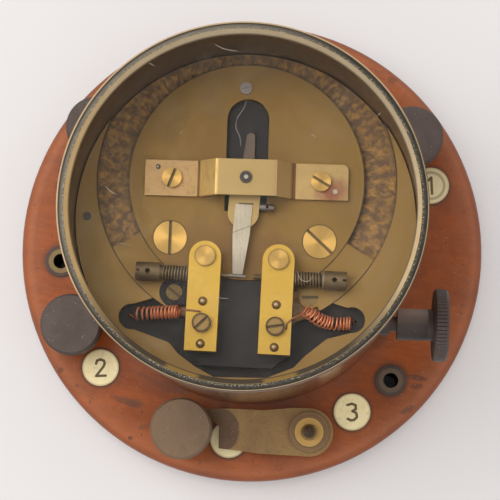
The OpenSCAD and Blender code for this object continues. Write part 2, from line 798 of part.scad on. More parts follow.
module plate_pin() {
    color("#4a3f30") at_arbor() at(plate_pin_at) rod(plate_pin_r, plate_z - 2, plate_z + 0.3);
}

module footstep_bearing() {
    color("#9a7b45") at_arbor() difference() {
        rod(4, floor_z, floor_z + 8);
        rod(arbor_r + run, floor_z + 5, floor_z + 9);
    }
}

module bridge() {
    half = bridge_l / 2;
    t = bridge_t;
    low = plate_z;
    high = bridge_top_z;
    color("#b9a06a") at_arbor() difference() {
        translate([0, bridge_w / 2, 0]) rotate([90, 0, 0]) linear_extrude(bridge_w) polygon([
            [-half, low], [-slope_out, low], [-slope_in, high - t], [slope_in, high - t], [slope_out, low], [half, low],
            [half, low + t], [slope_out + t / 2, low + t], [slope_in + t / 2, high], [-slope_in - t / 2, high],
            [-slope_out - t / 2, low + t], [-half, low + t]
        ]);
        rod(pivot_screw_r + seat, high - t - over, high + over);
        for (s = [-1, 1]) translate([s * bridge_screw_x, 0, 0])
            rod(bridge_shank_r + seat, low - over, low + t + over);
        for (p = steady_pins) at(p) rod(steady_r, low - over, low + t + over);
        difference() {
            slab(half - 2, half + over, bridge_w / 2 - 2, bridge_w / 2 + over, low - over, low + t + over);
            translate([half - 2, bridge_w / 2 - 2, 0]) rod(2, low - over, low + t + over);
        }
    }
}

module bridge_screws() {
    color("#b99650") at_arbor() for (s = [-1, 1]) translate([s * bridge_screw_x, 0, 0])
        screw(bridge_screw_r, bridge_shank_r, ebonite_z, bridge_foot_z, bridge_foot_z + 1.5, 0.8, 0.8, s < 0 ? 70 : -30);
}

module bridge_pins() {
    color("#a09a90") at_arbor() for (p = steady_pins) at(p) rod(steady_r, plate_z, bridge_foot_z + 0.3);
}

module pivot_screw() {
    color("#57534e") at_arbor() difference() {
        rod(pivot_screw_r, bridge_top_z - 3.6, bridge_top_z + 0.5);
        rod(arbor_pivot_r + run, bridge_top_z - 3.6 - over, bridge_top_z - 2);
    }
}

module permanent_magnet() {
    color("#4b4a4a") difference() {
        ring(magnet_in, magnet_in + magnet_w, floor_z, floor_z + magnet_h);
        raised(floor_z - over, floor_z + magnet_h + over) wedge(220, 320, 2 * plate_r);
    }
}

module coil_yoke() {
    color("#5a5654") at_arbor() slab(-coil_x - 9, coil_x + 9, coil_y - 7, coil_y + 5, floor_z, floor_z + iron_t);
}

module each_coil() { at_arbor() for (s = [-1, 1]) translate([s * coil_x, coil_y, 0]) children(); }
module coil_cores() { color("#5a5654") each_coil() rod(core_r, coil_low, coil_high); }
module coil_cheeks() {
    color("#2b2829") each_coil() {
        ring(core_r, coil_r + 1, coil_low, coil_low + cheek_t);
        ring(core_r, coil_r + 1, coil_high - cheek_t, coil_high);
    }
}
module coil_windings() {
    color("#5e7a4a") each_coil() ring(core_r, coil_r, coil_low + cheek_t, coil_high - cheek_t);
}
module pole_pieces() {
    color("#5a5654") at_arbor() for (s = [0, 1]) mirror([s, 0, 0])
        slab(pole_gap, coil_x + 8, coil_y - 4.5, coil_y + 4.5, coil_high, coil_high + iron_t);
}

module contact_leads() {
    color("#5c4636") for (s = [0, 1]) let (e = pigtail_ends[s] + arbor, h = lead_holes[s]) tube([
        [e[0], e[1], under_z], [e[0], e[1], under_z - 0.8], [(e[0] + h[0]) / 2, e[1] - 3.8, under_z - 1.2],
        [h[0], h[1], under_z - 4], [h[0], h[1], wood_z + 3]
    ], lead_r, 8);
}

module coil_leads() {
    high = coil_low + cheek_t + 3;
    start_y = arbor_y + coil_y + coil_r + 1.4;
    color("#5c4636") for (s = [-1, 1]) tube([
        [s * (coil_x - 3), start_y, high], [s * 11, coil_hole_y - 0.4, high - 1], [s * 8, coil_hole_y, high - 4],
        [s * 8, coil_hole_y, wood_z + 3]
    ], lead_r, 8);
}

module bias_bracket() {
    color("#9a7b45") difference() {
        slab(bracket_x1, bracket_x2, -bias_y - 4.5, -bias_y + 4.5, bias_z - 5, under_z);
        along_x(bracket_x1 - over, bracket_x2 + over, bias_shaft_r + run, -bias_y, bias_z);
    }
}

module arbor() {
    color("#7a746c") on_armature() {
        rod(arbor_r, floor_z + 5 + gap, arbor_shoulder_z);
        rod(arbor_pivot_r, arbor_shoulder_z, bridge_top_z - 2 - gap);
    }
}

module armature_bar() {
    low = coil_high + 0.4;
    color("#5a5654") on_armature() difference() {
        union() {
            slab(-2.5, 2.5, -6, coil_y + 4, low, low + iron_t - 0.8);
            rod(4, low, low + iron_t - 0.8);
        }
        rod(arbor_r + seat, low - over, low + iron_t + over);
    }
}

// The pointer's tail lies in the arch and tapers to a round tip
module pointer() {
    low = plate_z - 2.2;
    color("#7b6a5a") on_armature() difference() {
        raised(low, low + 1.2) {
            polygon([[-2.4, 0], [2.4, 0], [1.4, pointer_y - 1.4], [-1.4, pointer_y - 1.4]]);
            translate([0, pointer_y - 1.4]) circle(1.4);
            circle(3);
        }
        rod(arbor_r + seat, low - over, low + 2);
    }
}

module tongue_carrier() {
    low = plate_z + 1.4;
    top = axis_z - tongue_t / 2;
    color("#a8895a") on_armature() difference() {
        union() {
            raised(low, top) {
                translate([-tab_w / 2, -tab_y + tab_w / 2]) square([tab_w, tab_y - tab_w / 2]);
                translate([0, -tab_y + tab_w / 2]) circle(tab_w / 2);
            }
            rod(3.4, low, arbor_shoulder_z - 0.4);
        }
        rod(arbor_r + seat, low - over, axis_z + 3);
        translate([0, -tab_y + 5.2, 0]) rod(1 + seat, low - over, top + over);
    }
}

module carrier_screw() {
    low = plate_z + 1.4 + 0.7;
    color("#8f8c88") on_armature() difference() {
        along_x(tab_w / 2, tab_w / 2 + 4.7, 1.2, -carrier_screw_y, low + 0.7);
        translate([tab_w / 2 + 2.6, -carrier_screw_y, 0]) rod(0.5, low - 2, low + 4);
    }
}

module tongue() {
    z1 = axis_z - tongue_t / 2;
    color("#bdb9a4") on_armature() {
        raised(z1, z1 + tongue_t) polygon([
            [-tongue_w / 2, -8.4], [tongue_w / 2, -8.4], [tongue_w / 2 + 0.05, -18], [tongue_tip_w / 2, -pin_y + pin_r],
            [-tongue_tip_w / 2, -pin_y + pin_r], [-tongue_w / 2 - 0.05, -18]
        ]);
        translate([0, -tab_y + 5.2, 0]) rod(1, plate_z + 1.4, z1);
    }
}

module contact_pin() {
    color("#a59a94") on_armature() along_x(-pin_half, pin_half, pin_r, -pin_y, axis_z);
}

// The sector's two arms lie flush with the plate, and its lowered middle carries the block
module carriage_sector() {
    r1 = channel_r1 + gap;
    r2 = channel_r2 - gap;
    low = channel_z + gap;
    color("#96764a") on_carriage() difference() {
        union() {
            intersection() {
                ring(r1, r2, low, low + sector_low_h);
                raised(low, plate_z) wedge(270 - sector_half, 270 + sector_half, 2 * r2);
            }
            intersection() {
                ring(r1, r2, low + sector_low_h, plate_z);
                raised(low + sector_low_h, plate_z) union() {
                    difference() {
                        wedge(270 - sector_half, arm_left_end, 2 * r2);
                        translate(block_screw_left) circle(block_lobe_r + seat);
                    }
                    wedge(arm_right_end, 270 + sector_half, 2 * r2);
                    translate(block_screw_right) circle(sector_lobe_r);
                }
            }
            slab(-lug_w / 2, lug_w / 2, -lug_r - lug_d / 2, -lug_r + lug_d / 2, bias_z - lug_d / 2, low);
        }
        along_x(-lug_w, lug_w, bias_thread_r + nut_clearance, -lug_r, bias_z);
        at(block_screw_left) rod(1 + seat, low - over, plate_z + over);
        at(block_screw_right) {
            rod(1 + seat, low - over, plate_z + over);
            rod(block_screw_r + seat, plate_z - 1, plate_z + over);
        }
    }
}

module carriage_block() {
    color("#2b2829") on_carriage() difference() {
        union() {
            raised(block_z, post_z) difference() {
                polygon(block_points);
                circle(opening_back_r + 0.3);
            }
            raised(block_z, plate_z - 0.2) difference() {
                intersection() {
                    translate(block_screw_left) circle(block_lobe_r);
                    circle(channel_r2 - gap);
                }
                circle(channel_r1 + gap);
            }
        }
        at(block_screw_left) {
            rod(1 + seat, block_z - over, post_z + over);
            rod(block_screw_r + seat, plate_z - 1.2, post_z + over);
        }
        post_holes(block_z - over, post_z + over);
    }
}
module post_holes(z1, z2) {
    for (s = [-1, 1]) for (y = [rivet_back, rivet_front, wire_screw_y])
        translate([s * post_x, -y, 0]) rod(0.9 + seat, z1, z2);
}

module block_screws() {
    color("#8d7038") on_carriage() {
        at(block_screw_left) screw(block_screw_r, 1, channel_z + gap, plate_z - 1.2, plate_z, 0.7, 0.7, -38);
        at(block_screw_right) screw(block_screw_r, 1, channel_z + gap, plate_z - 1, plate_z - 0.1, 0.7, 0.6, 2);
    }
}

module contact_posts() {
    color("#d9b04e") on_carriage() for (s = [-1, 1]) difference() {
        translate([s * post_x, 0, 0]) raised(post_z, post_top_z) {
            translate([-post_w / 2, -post_front]) square([post_w, post_front - post_back]);
            translate([0, -post_back]) circle(post_w / 2);
        }
        along_x(s * post_x - post_w, s * post_x + post_w, contact_screw_r + run, -contact_y, axis_z);
        translate([s * post_x, -clamp_y, 0]) rod(1.2 + seat, post_z + 1, post_top_z + over);
        post_holes(post_z - over, post_top_z + over);
    }
}

module post_fasteners() {
    color("#b99a55") on_carriage() for (s = [-1, 1]) translate([s * post_x, 0, 0]) {
        translate([0, -clamp_y, 0]) {
            rod(clamp_screw_r, post_top_z, post_top_z + 0.9);
            rod(1.2, post_z + 1, post_top_z);
        }
        for (y = [rivet_back, rivet_front]) translate([0, -y, 0]) {
            rod(0.9, block_z, post_top_z);
            translate([0, 0, post_top_z]) intersection() {
                translate([0, 0, -0.4]) sphere(rivet_r);
                rod(rivet_r + over, 0, rivet_r);
            }
        }
        translate([0, -wire_screw_y, 0])
            screw(wire_screw_r, 0.9, block_z, post_top_z, post_top_z + 1.8, 0.8, 0.9, s < 0 ? 45 : 10);
    }
}

module contact_screw(s) {
    head_mid = (contact_head_x1 + contact_head_x2) / 2;
    on_carriage() mirror([s < 0 ? 1 : 0, 0, 0]) difference() {
        union() {
            along_x(tip_x, tip_root_x, tip_r, -contact_y, axis_z);
            along_x(tip_root_x - post_w / 2 + 1, contact_head_x1, contact_screw_r, -contact_y, axis_z);
            along_x(contact_head_x1, contact_head_x2, contact_head_r, -contact_y, axis_z);
        }
        translate([head_mid, -contact_y, 0]) rod(0.8, axis_z - contact_head_r - over, axis_z + contact_head_r + over);
        translate([head_mid, -contact_y - contact_head_r - over, axis_z]) rotate([-90, 0, 0])
            cylinder(r = 0.8, h = 2 * contact_head_r + 2 * over);
        slab(contact_head_x2 - 1.2, contact_head_x2 + over, -contact_y - 0.4, -contact_y + 0.4,
            axis_z - contact_head_r - over, axis_z + contact_head_r + over);
    }
}
module contact_screw_left() { color("#6d5c3e") contact_screw(-1); }
module contact_screw_right() { color("#6d5c3e") contact_screw(1); }

// A pigtail: up from its hole, along a coiled stretch and round the wire screw; all points are seen from the arbor
function coil_path(knots, turns, r) = [
    for (k = [0:turns * turn_steps]) let (
        f = k / (turns * turn_steps) * (len(knots) - 1),
        i = min(floor(f), len(knots) - 2),
        p = knots[i] + (f - i) * (knots[i + 1] - knots[i]),
        t = unit(knots[i + 1] - knots[i]),
        u = side_dir(t),
        v = cross(u, t),
        a = 360 * k / turn_steps
    ) p + r * (cos(a) * u + sin(a) * v)
];
module pigtail(end, knots, turns, tail) {
    below = [[end[0], end[1], under_z], [end[0], end[1], coil_rest_z - 1.4]];
    at_arbor() tube(concat(below, coil_path(knots, turns, pigtail_r), tail), wire_r, 5);
}
module pigtail_left() { color("#b5562c") pigtail(pigtail_ends[0], left_knots, left_turns, left_tail); }
module pigtail_right() { color("#b5562c") pigtail(pigtail_ends[1], right_knots, right_turns, right_tail); }

module bias_screw() {
    color("#4a423c") difference() {
        union() {
            along_x(bracket_x2, neck_x, bias_shaft_r, -bias_y, bias_z);
            along_x(bracket_x1 - 3, bracket_x2, bias_shaft_r, -bias_y, bias_z);
            along_x(bracket_x2 + gap, bracket_x2 + 2, bias_shaft_r + 1.2, -bias_y, bias_z);
            along_x(bracket_x1 - 3, bracket_x1 - gap, bias_shaft_r + 1.2, -bias_y, bias_z);
            along_x(shaft_end_x, bracket_x1 - 3, bias_thread_r, -bias_y, bias_z);
            along_x(neck_x, bias_knob_x, bias_neck_r, -bias_y, bias_z);
            translate([bias_knob_x, -bias_y, bias_z]) rotate([0, 90, 0]) turned([
                [0, 0], [bias_knob_r - 0.6, 0], [bias_knob_r, 0.6], [bias_knob_r, bias_knob_t - 0.8],
                [bias_knob_r - 0.8, bias_knob_t], [0, bias_knob_t]
            ]);
        }
        translate([bias_knob_x, -bias_y, bias_z]) rotate([0, 90, 0])
            for (k = [0:knurls - 1]) rotate(360 * k / knurls) translate([bias_knob_r + knurl_r / 3, 0, 0])
                rod(knurl_r, -over, bias_knob_t + over, $fn = 4);
    }
}

base_board();
base_cloth();
fixing_ferrules();
label_discs();
terminal_studs();
terminal_nuts();
terminal_collars();
terminal_washers();
link_washers();
terminal_knob_back_right();
terminal_knob_back_left();
terminal_knob_left();
terminal_knob_front();
link_strap();
case_shell();
case_rim();
glass_cement();
case_glass();
glass_ring();
case_boss();
lower_plate();
lower_plate_screws();
front_pillars();
back_pillar();
ebonite_plate();
top_plate();
plate_screws();
back_screw();
plate_pin();
footstep_bearing();
bridge();
bridge_screws();
bridge_pins();
pivot_screw();
permanent_magnet();
coil_yoke();
coil_cores();
coil_cheeks();
coil_windings();
pole_pieces();
contact_leads();
coil_leads();
bias_bracket();
arbor();
armature_bar();
pointer();
tongue_carrier();
carrier_screw();
tongue();
contact_pin();
carriage_sector();
carriage_block();
block_screws();
contact_posts();
post_fasteners();
contact_screw_left();
contact_screw_right();
pigtail_left();
pigtail_right();
bias_screw();
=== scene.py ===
import json
import math
import random
from collections import namedtuple

import bpy
from mathutils import Matrix, Vector


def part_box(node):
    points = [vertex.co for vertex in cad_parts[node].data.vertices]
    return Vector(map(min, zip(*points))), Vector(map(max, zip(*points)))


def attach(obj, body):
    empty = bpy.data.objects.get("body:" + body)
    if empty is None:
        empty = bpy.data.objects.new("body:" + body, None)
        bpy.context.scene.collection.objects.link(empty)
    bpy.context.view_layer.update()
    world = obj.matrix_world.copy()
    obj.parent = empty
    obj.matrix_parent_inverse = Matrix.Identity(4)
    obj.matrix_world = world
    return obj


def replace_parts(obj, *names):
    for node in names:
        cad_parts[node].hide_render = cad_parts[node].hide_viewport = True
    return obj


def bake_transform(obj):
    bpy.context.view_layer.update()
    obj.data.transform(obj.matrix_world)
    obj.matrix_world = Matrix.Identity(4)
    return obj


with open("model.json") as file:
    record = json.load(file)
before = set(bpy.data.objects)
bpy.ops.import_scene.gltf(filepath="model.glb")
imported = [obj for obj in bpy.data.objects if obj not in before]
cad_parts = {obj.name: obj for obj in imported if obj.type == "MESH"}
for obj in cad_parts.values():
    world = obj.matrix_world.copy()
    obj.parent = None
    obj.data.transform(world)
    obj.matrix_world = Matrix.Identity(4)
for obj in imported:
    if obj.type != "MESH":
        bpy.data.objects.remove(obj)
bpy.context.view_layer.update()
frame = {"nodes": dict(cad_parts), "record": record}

MM = 0.001


def mm(node):
    """Lowest and highest corner of a CAD node, in millimetres."""
    low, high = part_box(node)
    return Vector(low) / MM, Vector(high) / MM


# Places read from the frame, in millimetres
pivot_low, pivot_high = mm("pivot_screw")
arbor_x = (pivot_low.x + pivot_high.x) / 2
arbor_y = (pivot_low.y + pivot_high.y) / 2
arbor_place = (arbor_x, arbor_y)
base_r = mm("base_board")[1].x
plate_z = mm("top_plate")[1].z
plate_under_z = mm("ebonite_plate")[0].z
rim_z = mm("case_rim")[1].z
rim_r = mm("case_rim")[1].x
post_z = mm("contact_posts")[0].z
post_top_z = mm("contact_posts")[1].z
disc_top_z = mm("label_discs")[1].z
glass_z = mm("case_glass")[1].z

# Values of the solids that the boxes don't give, in millimetres and degrees
channel_depth = 3.0
channel_r1 = 38.5
channel_r2 = 49.0
carriage_set = -1.2
contact_h = 3.6
contact_y = 31.8 * math.cos(math.radians(2.3))
label_ring_r = 70.2
label_r = 6.7
label_angles = (220.2, 303.4, 21.2, 265.2, 157)
ferrule_angles = (318.3, 185.4, 72)
terminal_ring_r = 70.5
stud_angle = 289.2
case_wall_r = 56.9
neck_y = -31.6
neck_r = 5.3
bias_knob_w = 6.5
slope_in = 9.2
slope_out = 15.3
post_x = 11.85
pin_x = 29.15
left_pin_y = 3.6
right_pin_y = -3.1
thread_start = 17.3
thread_end = 26.0
thread_r = 2.3

channel_z = plate_z - channel_depth
axis_z = plate_z + contact_h
front_y = -channel_r2
knob_x = mm("bias_screw")[1].x - bias_knob_w


def srgb(red, green, blue):
    """Linear colour of a 0 to 255 display colour."""
    def linear(c):
        c /= 255
        return c / 12.92 if c <= 0.04045 else ((c + 0.055) / 1.055) ** 2.4
    return (linear(red), linear(green), linear(blue), 1)


def scaled(colour, gain):
    """A display colour whose light is changed by that gain, as a linear colour."""
    return tuple(min(1, c * gain) for c in srgb(*colour)[:3]) + (1,)


def around(angle, reach):
    """A place round the middle of the base."""
    return (reach * math.cos(math.radians(angle)), reach * math.sin(math.radians(angle)))


def on_ring(angle):
    """A place on the ring of the inlaid discs and the ferrules."""
    return around(angle, label_ring_r)


def on_carriage(x, y):
    """A place on the carriage as it is set, from its place seen from the arbor."""
    turn = math.radians(carriage_set)
    return (arbor_x + x * math.cos(turn) - y * math.sin(turn),
            arbor_y + x * math.sin(turn) + y * math.cos(turn))


# Heads of the fasteners seen from above; turn is the angle of the slot
Head = namedtuple("Head", "x y radius turn")
sides = (-1, 1)
flush = [Head(arbor_x + side * 24.35, arbor_y - 19.4, 5.5, turn) for side, turn in zip(sides, (90, -42))]
feet = [Head(arbor_x + side * 24.3, arbor_y, 3.3, turn) for side, turn in zip(sides, (70, -30))]
clamps = [Head(*on_carriage(side * post_x, -26.0), 3.5, 0) for side in sides]
wires = [Head(*on_carriage(side * post_x, -47.7), 3.1, turn) for side, turn in zip(sides, (45, 10))]
rivets = [Head(*on_carriage(side * post_x, y), 1.7, 0) for side in sides for y in (-40.7, -54.4)]
blocks = [
    Head(*on_carriage(-21.6, front_y + 11.3), 2.7, -38),
    Head(*on_carriage(22.6, front_y + 11.8), 2.7, 2),
]


class Paint:
    """One procedural material. Its place is the object coordinate in millimetres."""

    def __init__(self, name):
        self.material = bpy.data.materials.new(name)
        self.material.use_nodes = True
        self.nodes = self.material.node_tree.nodes
        self.links = self.material.node_tree.links
        self.shader = next(n for n in self.nodes if n.type == "BSDF_PRINCIPLED")
        self.colour = None
        self.place = self.mapped(self.node("TexCoord").outputs["Object"], (1 / MM, 1 / MM, 1 / MM))

    def feed(self, target, value):
        if isinstance(value, bpy.types.NodeSocket):
            self.links.new(value, target)
        else:
            target.default_value = value

    def node(self, kind, **inputs):
        """A shader node with those inputs fed; _ stands for a space in their names."""
        node = self.nodes.new("ShaderNode" + kind)
        for name, value in inputs.items():
            self.feed(node.inputs[name.replace("_", " ")], value)
        return node

    def mapped(self, vector, scale, turn=0, shift=(0, 0, 0)):
        rotation = (0, 0, math.radians(turn))
        node = self.node("Mapping", Vector=vector, Location=shift, Rotation=rotation, Scale=scale)
        return node.outputs["Vector"]

    def turned(self, turn, centre=(0, 0)):
        """The place, seen from an upright line and then turned about it."""
        moved = self.node("VectorMath")
        moved.operation = "SUBTRACT"
        self.feed(moved.inputs[0], self.place)
        moved.inputs[1].default_value = (centre[0], centre[1], 0)
        return self.mapped(moved.outputs[0], (1, 1, 1), turn)

    def math(self, operation, a, b=0.0, clamp=False):
        node = self.node("Math")
        node.operation = operation
        node.use_clamp = clamp
        self.feed(node.inputs[0], a)
        self.feed(node.inputs[1], b)
        return node.outputs[0]

    def times(self, first, *others):
        for other in others:
            first = self.math("MULTIPLY", first, other)
        return first

    def plus(self, first, *others):
        for other in others:
            first = self.math("ADD", first, other)
        return first

    def less(self, a, b):
        return self.math("SUBTRACT", a, b)

    def off(self, value, centre):
        """How far a value is from a centre."""
        return self.math("ABSOLUTE", self.less(value, centre))

    def under(self, value, limit):
        return self.math("LESS_THAN", value, limit)

    def over(self, value, limit):
        return self.math("GREATER_THAN", value, limit)

    def span(self, value, low, high, to_low=0.0, to_high=1.0):
        """value from low..high to to_low..to_high, held at the ends."""
        node = self.node("MapRange", Value=value, From_Min=low, From_Max=high, To_Min=to_low, To_Max=to_high)
        node.clamp = True
        return node.outputs[0]

    def rise(self, value, low, high, strength=1.0):
        """0 at low, the strength at high."""
        return self.span(value, low, high, 0, strength)

    def fall(self, value, low, high, strength=1.0):
        """The strength at low, 0 at high."""
        return self.span(value, low, high, strength, 0)

    def band(self, value, low, high, soft):
        """1 between low and high, with a soft edge inside each end."""
        return self.times(self.rise(value, low, low + soft), self.fall(value, high - soft, high))

    def axis(self, name, vector=None):
        return self.node("SeparateXYZ", Vector=vector or self.place).outputs[name]

    def length(self, x, y):
        return self.math("SQRT", self.plus(self.times(x, x), self.times(y, y)))

    def reach(self, centre=(0, 0)):
        """Distance from an upright line, and the angle about it."""
        moved = self.turned(0, centre)
        x = self.axis("X", moved)
        y = self.axis("Y", moved)
        return self.length(x, y), self.math("ARCTAN2", y, x)

    def noise(self, scale, detail=4, rough=0.55, warp=0.0, stretch=(1, 1, 1), turn=0, shift=(0, 0, 0),
              place=None):
        """Noise with about `scale` features a millimetre, drawn out along an axis by stretch."""
        vector = place or (self.turned(turn) if turn else self.place)
        vector = self.mapped(vector, [scale / s for s in stretch], 0, shift)
        node = self.node("TexNoise", Vector=vector, Scale=1, Detail=detail, Roughness=rough, Distortion=warp)
        return node.outputs["Fac"]

    def mix(self, factor, a, b):
        """From colour a to colour b; a colour is a socket, a display triple or a linear colour."""
        node = self.node("Mix")
        node.data_type = "RGBA"
        self.feed(node.inputs[0], factor)
        for target, colour in ((node.inputs[6], a), (node.inputs[7], b)):
            display = isinstance(colour, tuple) and len(colour) == 3
            self.feed(target, srgb(*colour) if display else colour)
        return node.outputs[2]

    def base(self, low_colour, high_colour, value, low, high):
        """The first colour: from one to the other as the value goes from low to high."""
        self.colour = self.mix(self.span(value, low, high), low_colour, high_colour)

    def tint(self, colour, *factors):
        """Lays a colour over the others, as far as the product of the factors."""
        self.colour = self.mix(self.times(*factors), self.colour, colour)

    def patch(self, centre, radii, turn=0, ragged=0.35, soft=0.5):
        """1 inside a ragged oval, 0 outside it."""
        moved = self.turned(-turn, centre)
        x = self.times(self.axis("X", moved), 1 / radii[0])
        y = self.times(self.axis("Y", moved), 1 / radii[1])
        edge = self.span(self.noise(1.6 / max(radii), 4, 0.65), 0.25, 0.75, -ragged, ragged)
        return self.fall(self.plus(self.length(x, y), edge), 1 - soft / 2, 1 + soft / 2)

    def scratches(self, spacing, length, turn=0, width=0.012, shift=(0, 0, 0), share=0.56):
        """Thin broken scratches: 1 on a scratch, 0 off it."""
        wave = self.noise(1, 2, 0.4, 0.6, (length, spacing, spacing), turn, shift)
        line = self.fall(self.off(wave, 0.5), 0, width)
        breaks = self.noise(1, 1, 0.5, 0, (length * 0.8, length * 0.8, length), turn, (7, 3, 1))
        return self.times(line, self.rise(breaks, share, share + 0.05))

    def specks(self, size, amount, seed=0.0):
        """Small round specks of about that size: 1 on a speck."""
        place = self.mapped(self.place, (1, 1, 1), 0, (seed, seed * 1.7, seed))
        node = self.node("TexVoronoi", Vector=place, Scale=1 / (size * 3))
        pick = self.node("SeparateColor", Color=node.outputs["Color"])
        chosen = self.under(pick.outputs[0], amount)
        return self.times(chosen, self.fall(node.outputs["Distance"], 0.10, 0.24))

    def upward(self):
        """1 on faces that look up, 0 on walls."""
        normal = self.node("NewGeometry").outputs["Normal"]
        return self.rise(self.axis("Z", normal), 0.5, 0.9)

    def walls(self):
        """1 on walls, 0 on faces that look up."""
        return self.less(1.0, self.upward())

    def finish(self, rough, metal=0.0, height=None, depth=0.05, **sockets):
        """Colour, roughness and a bump of that depth in millimetres."""
        self.feed(self.shader.inputs["Base Color"], self.colour)
        self.feed(self.shader.inputs["Roughness"], rough)
        self.feed(self.shader.inputs["Metallic"], metal)
        if height is not None:
            bump = self.node("Bump", Distance=depth * MM, Height=height)
            self.feed(self.shader.inputs["Normal"], bump.outputs[0])
        for name, value in sockets.items():
            self.feed(self.shader.inputs[name.replace("_", " ")], value)
        return self.material


DUST = (200, 190, 172)


class Metal(Paint):
    """Old lacquered metal: a matte tone in soft clouds, fine mottling, a few scratches and dust."""

    def __init__(self, name, light, dark, stain, rough=(0.42, 0.58), metal=0.5, scratch=0.25, speck=0.07):
        super().__init__(name)
        self.light = light
        self.metal = metal
        clouds = self.noise(0.06, 4, 0.55, 0.6)
        self.base(dark, light, clouds, 0.35, 0.65)
        fine = self.noise(1.1, 5, 0.7)
        self.tint(stain, self.rise(fine, 0.5, 0.78, 0.4))
        blotch = self.noise(0.17, 5, 0.65, 1.2, shift=(4, 9, 2))
        self.tint(stain, self.rise(blotch, 0.6, 0.74, 0.3))
        along = self.scratches(1.8, 24, 14, 0.008, (3, 5, 2), 0.6)
        across = self.scratches(2.6, 20, -52, 0.007, (9, 1, 4), 0.6)
        marks = self.math("MAXIMUM", along, across)
        self.tint(scaled(light, 1.6), marks, scratch)
        self.tint(stain, self.scratches(2.9, 16, 66, 0.007, (11, 2, 5), 0.6), scratch)
        self.dust = self.times(self.specks(0.2, speck, 3), self.upward())
        polish = self.noise(0.35, 4, 0.6, 0.5, shift=(1, 2, 8))
        self.rough = self.span(polish, 0.3, 0.7, rough[0], rough[1])
        grit = self.noise(3.2, 3, 0.6)
        self.height = self.less(self.times(grit, 0.35), self.times(marks, 0.4))

    def done(self, depth=0.02):
        self.tint(DUST, self.dust, 0.7)
        return self.finish(self.rough, self.metal, self.height, depth)


def plain(name, light, dark, stain, **options):
    return Metal(name, light, dark, stain, **options).done()


def mahogany():
    """Polished mahogany: straight grain, rosy clouds, stains, bruises and old polish round fittings."""
    p = Paint("mahogany")
    grain_turn = 8
    wide = p.noise(0.06, 4, 0.6, 1.0, (2.5, 1, 1), grain_turn)
    p.base((138, 68, 25), (170, 86, 29), wide, 0.36, 0.64)
    streaks = p.noise(0.5, 5, 0.62, 0.5, (12, 1, 1), grain_turn)
    p.tint((118, 58, 28), p.rise(streaks, 0.42, 0.75, 0.4))
    pores = p.noise(3.2, 3, 0.7, 0.1, (16, 1, 1), grain_turn, (5, 2, 1))
    p.tint((82, 44, 26), p.rise(pores, 0.58, 0.68, 0.3))
    rosy = p.noise(0.11, 5, 0.62, 0.8, shift=(3, 3, 3))
    p.tint((156, 88, 58), p.rise(rosy, 0.5, 0.7, 0.45))
    # Darker towards the right and the back, rubbed pale at the edge, darker round the case's foot
    side = p.rise(p.plus(p.times(p.axis("X"), 0.9), p.times(p.axis("Y"), 0.35)), -30, 80)
    p.tint((118, 58, 28), side, 0.3)
    reach = p.reach()[0]
    hazy = p.plus(reach, p.span(p.noise(0.2, 4, 0.6), 0.2, 0.8, -2.5, 2.5))
    edge = p.times(p.rise(hazy, 74, base_r - 2.5), p.upward())
    p.tint((178, 120, 92), edge, 0.35)
    foot = p.plus(reach, p.span(p.noise(0.13, 4, 0.6), 0.2, 0.8, -4, 4))
    p.tint((118, 88, 74), p.fall(foot, case_wall_r - 1, case_wall_r + 6, 0.4))
    # Painted shade: the sides of the base darker than its top
    p.tint((108, 52, 22), p.walls(), 0.45)
    # Rings of old polish round the inlaid discs and the ferrules
    for angle in label_angles:
        near = p.reach(on_ring(angle))[0]
        p.tint((88, 60, 48), p.fall(near, label_r + 0.2, label_r + 1.5, 0.75))
    for angle in ferrule_angles:
        near = p.reach(on_ring(angle))[0]
        p.tint((92, 60, 46), p.fall(near, 5.6, 7.6, 0.6))
    # Dark stains of oil and bruises in the polish, and one painted shadow of the front knob: place, half
    # sizes, turn and strength
    stains_and_shadow = (
        (-44, -57.2, 5.6, 1.2, -14, 0.5),
        (-40.5, -58, 3, 1.8, 0, 0.4),
        (-41.8, -70.6, 0.8, 0.7, 0, 0.7),
        (-68.4, -46.7, 1.3, 0.9, 30, 0.55),
        (-62, -52, 0.8, 0.6, 0, 0.45),
        (-30, -50.5, 9, 2.4, -24, 0.3),
        (61.8, -45.4, 3.6, 1.1, -6, 0.6),
        (62, -48.6, 2.4, 1, 10, 0.55),
        (59, -57, 2.8, 1.1, 30, 0.55),
        (50.2, 64.6, 1.8, 1.4, 0, 0.4),
        # Painted shadow of the front knob, cast on the wood to its right
        (-6.4, -66, 3, 8.5, 14, 0.75),
        (42, -31, 9, 4.4, 10, 0.45),
        (66, 20, 1.6, 1.0, 60, 0.4),
        (-72, 22, 2.4, 1.2, 70, 0.4),
        (-36, -66, 3, 1, 20, 0.3),
        (12, 74, 4, 1.2, 4, 0.3),
    )
    for x, y, half_wide, half_deep, turn, strength in stains_and_shadow:
        spot = p.patch((x, y), (half_wide, half_deep), turn)
        p.tint((78, 56, 48), spot, strength)
    dents = p.specks(0.8, 0.07, 4)
    p.tint((92, 62, 52), dents, 0.5)
    across = p.scratches(3.2, 30, -58, 0.010, (2, 1, 3))
    along = p.scratches(3.8, 26, 24, 0.008, (6, 1, 3))
    marks = p.math("MAXIMUM", across, along)
    p.tint((90, 54, 40), marks, 0.3)
    p.tint((206, 184, 166), p.specks(0.24, 0.08, 5), p.upward(), 0.5)
    rough = p.plus(p.span(rosy, 0.4, 0.7, 0.34, 0.5), p.times(edge, 0.12))
    height = p.plus(p.times(pores, -0.4), p.times(marks, -0.5), p.times(dents, -1.2))
    return p.finish(rough, 0, height, 0.06,
                    Specular_IOR_Level=0.25, Coat_Weight=0.06, Coat_Roughness=0.25)


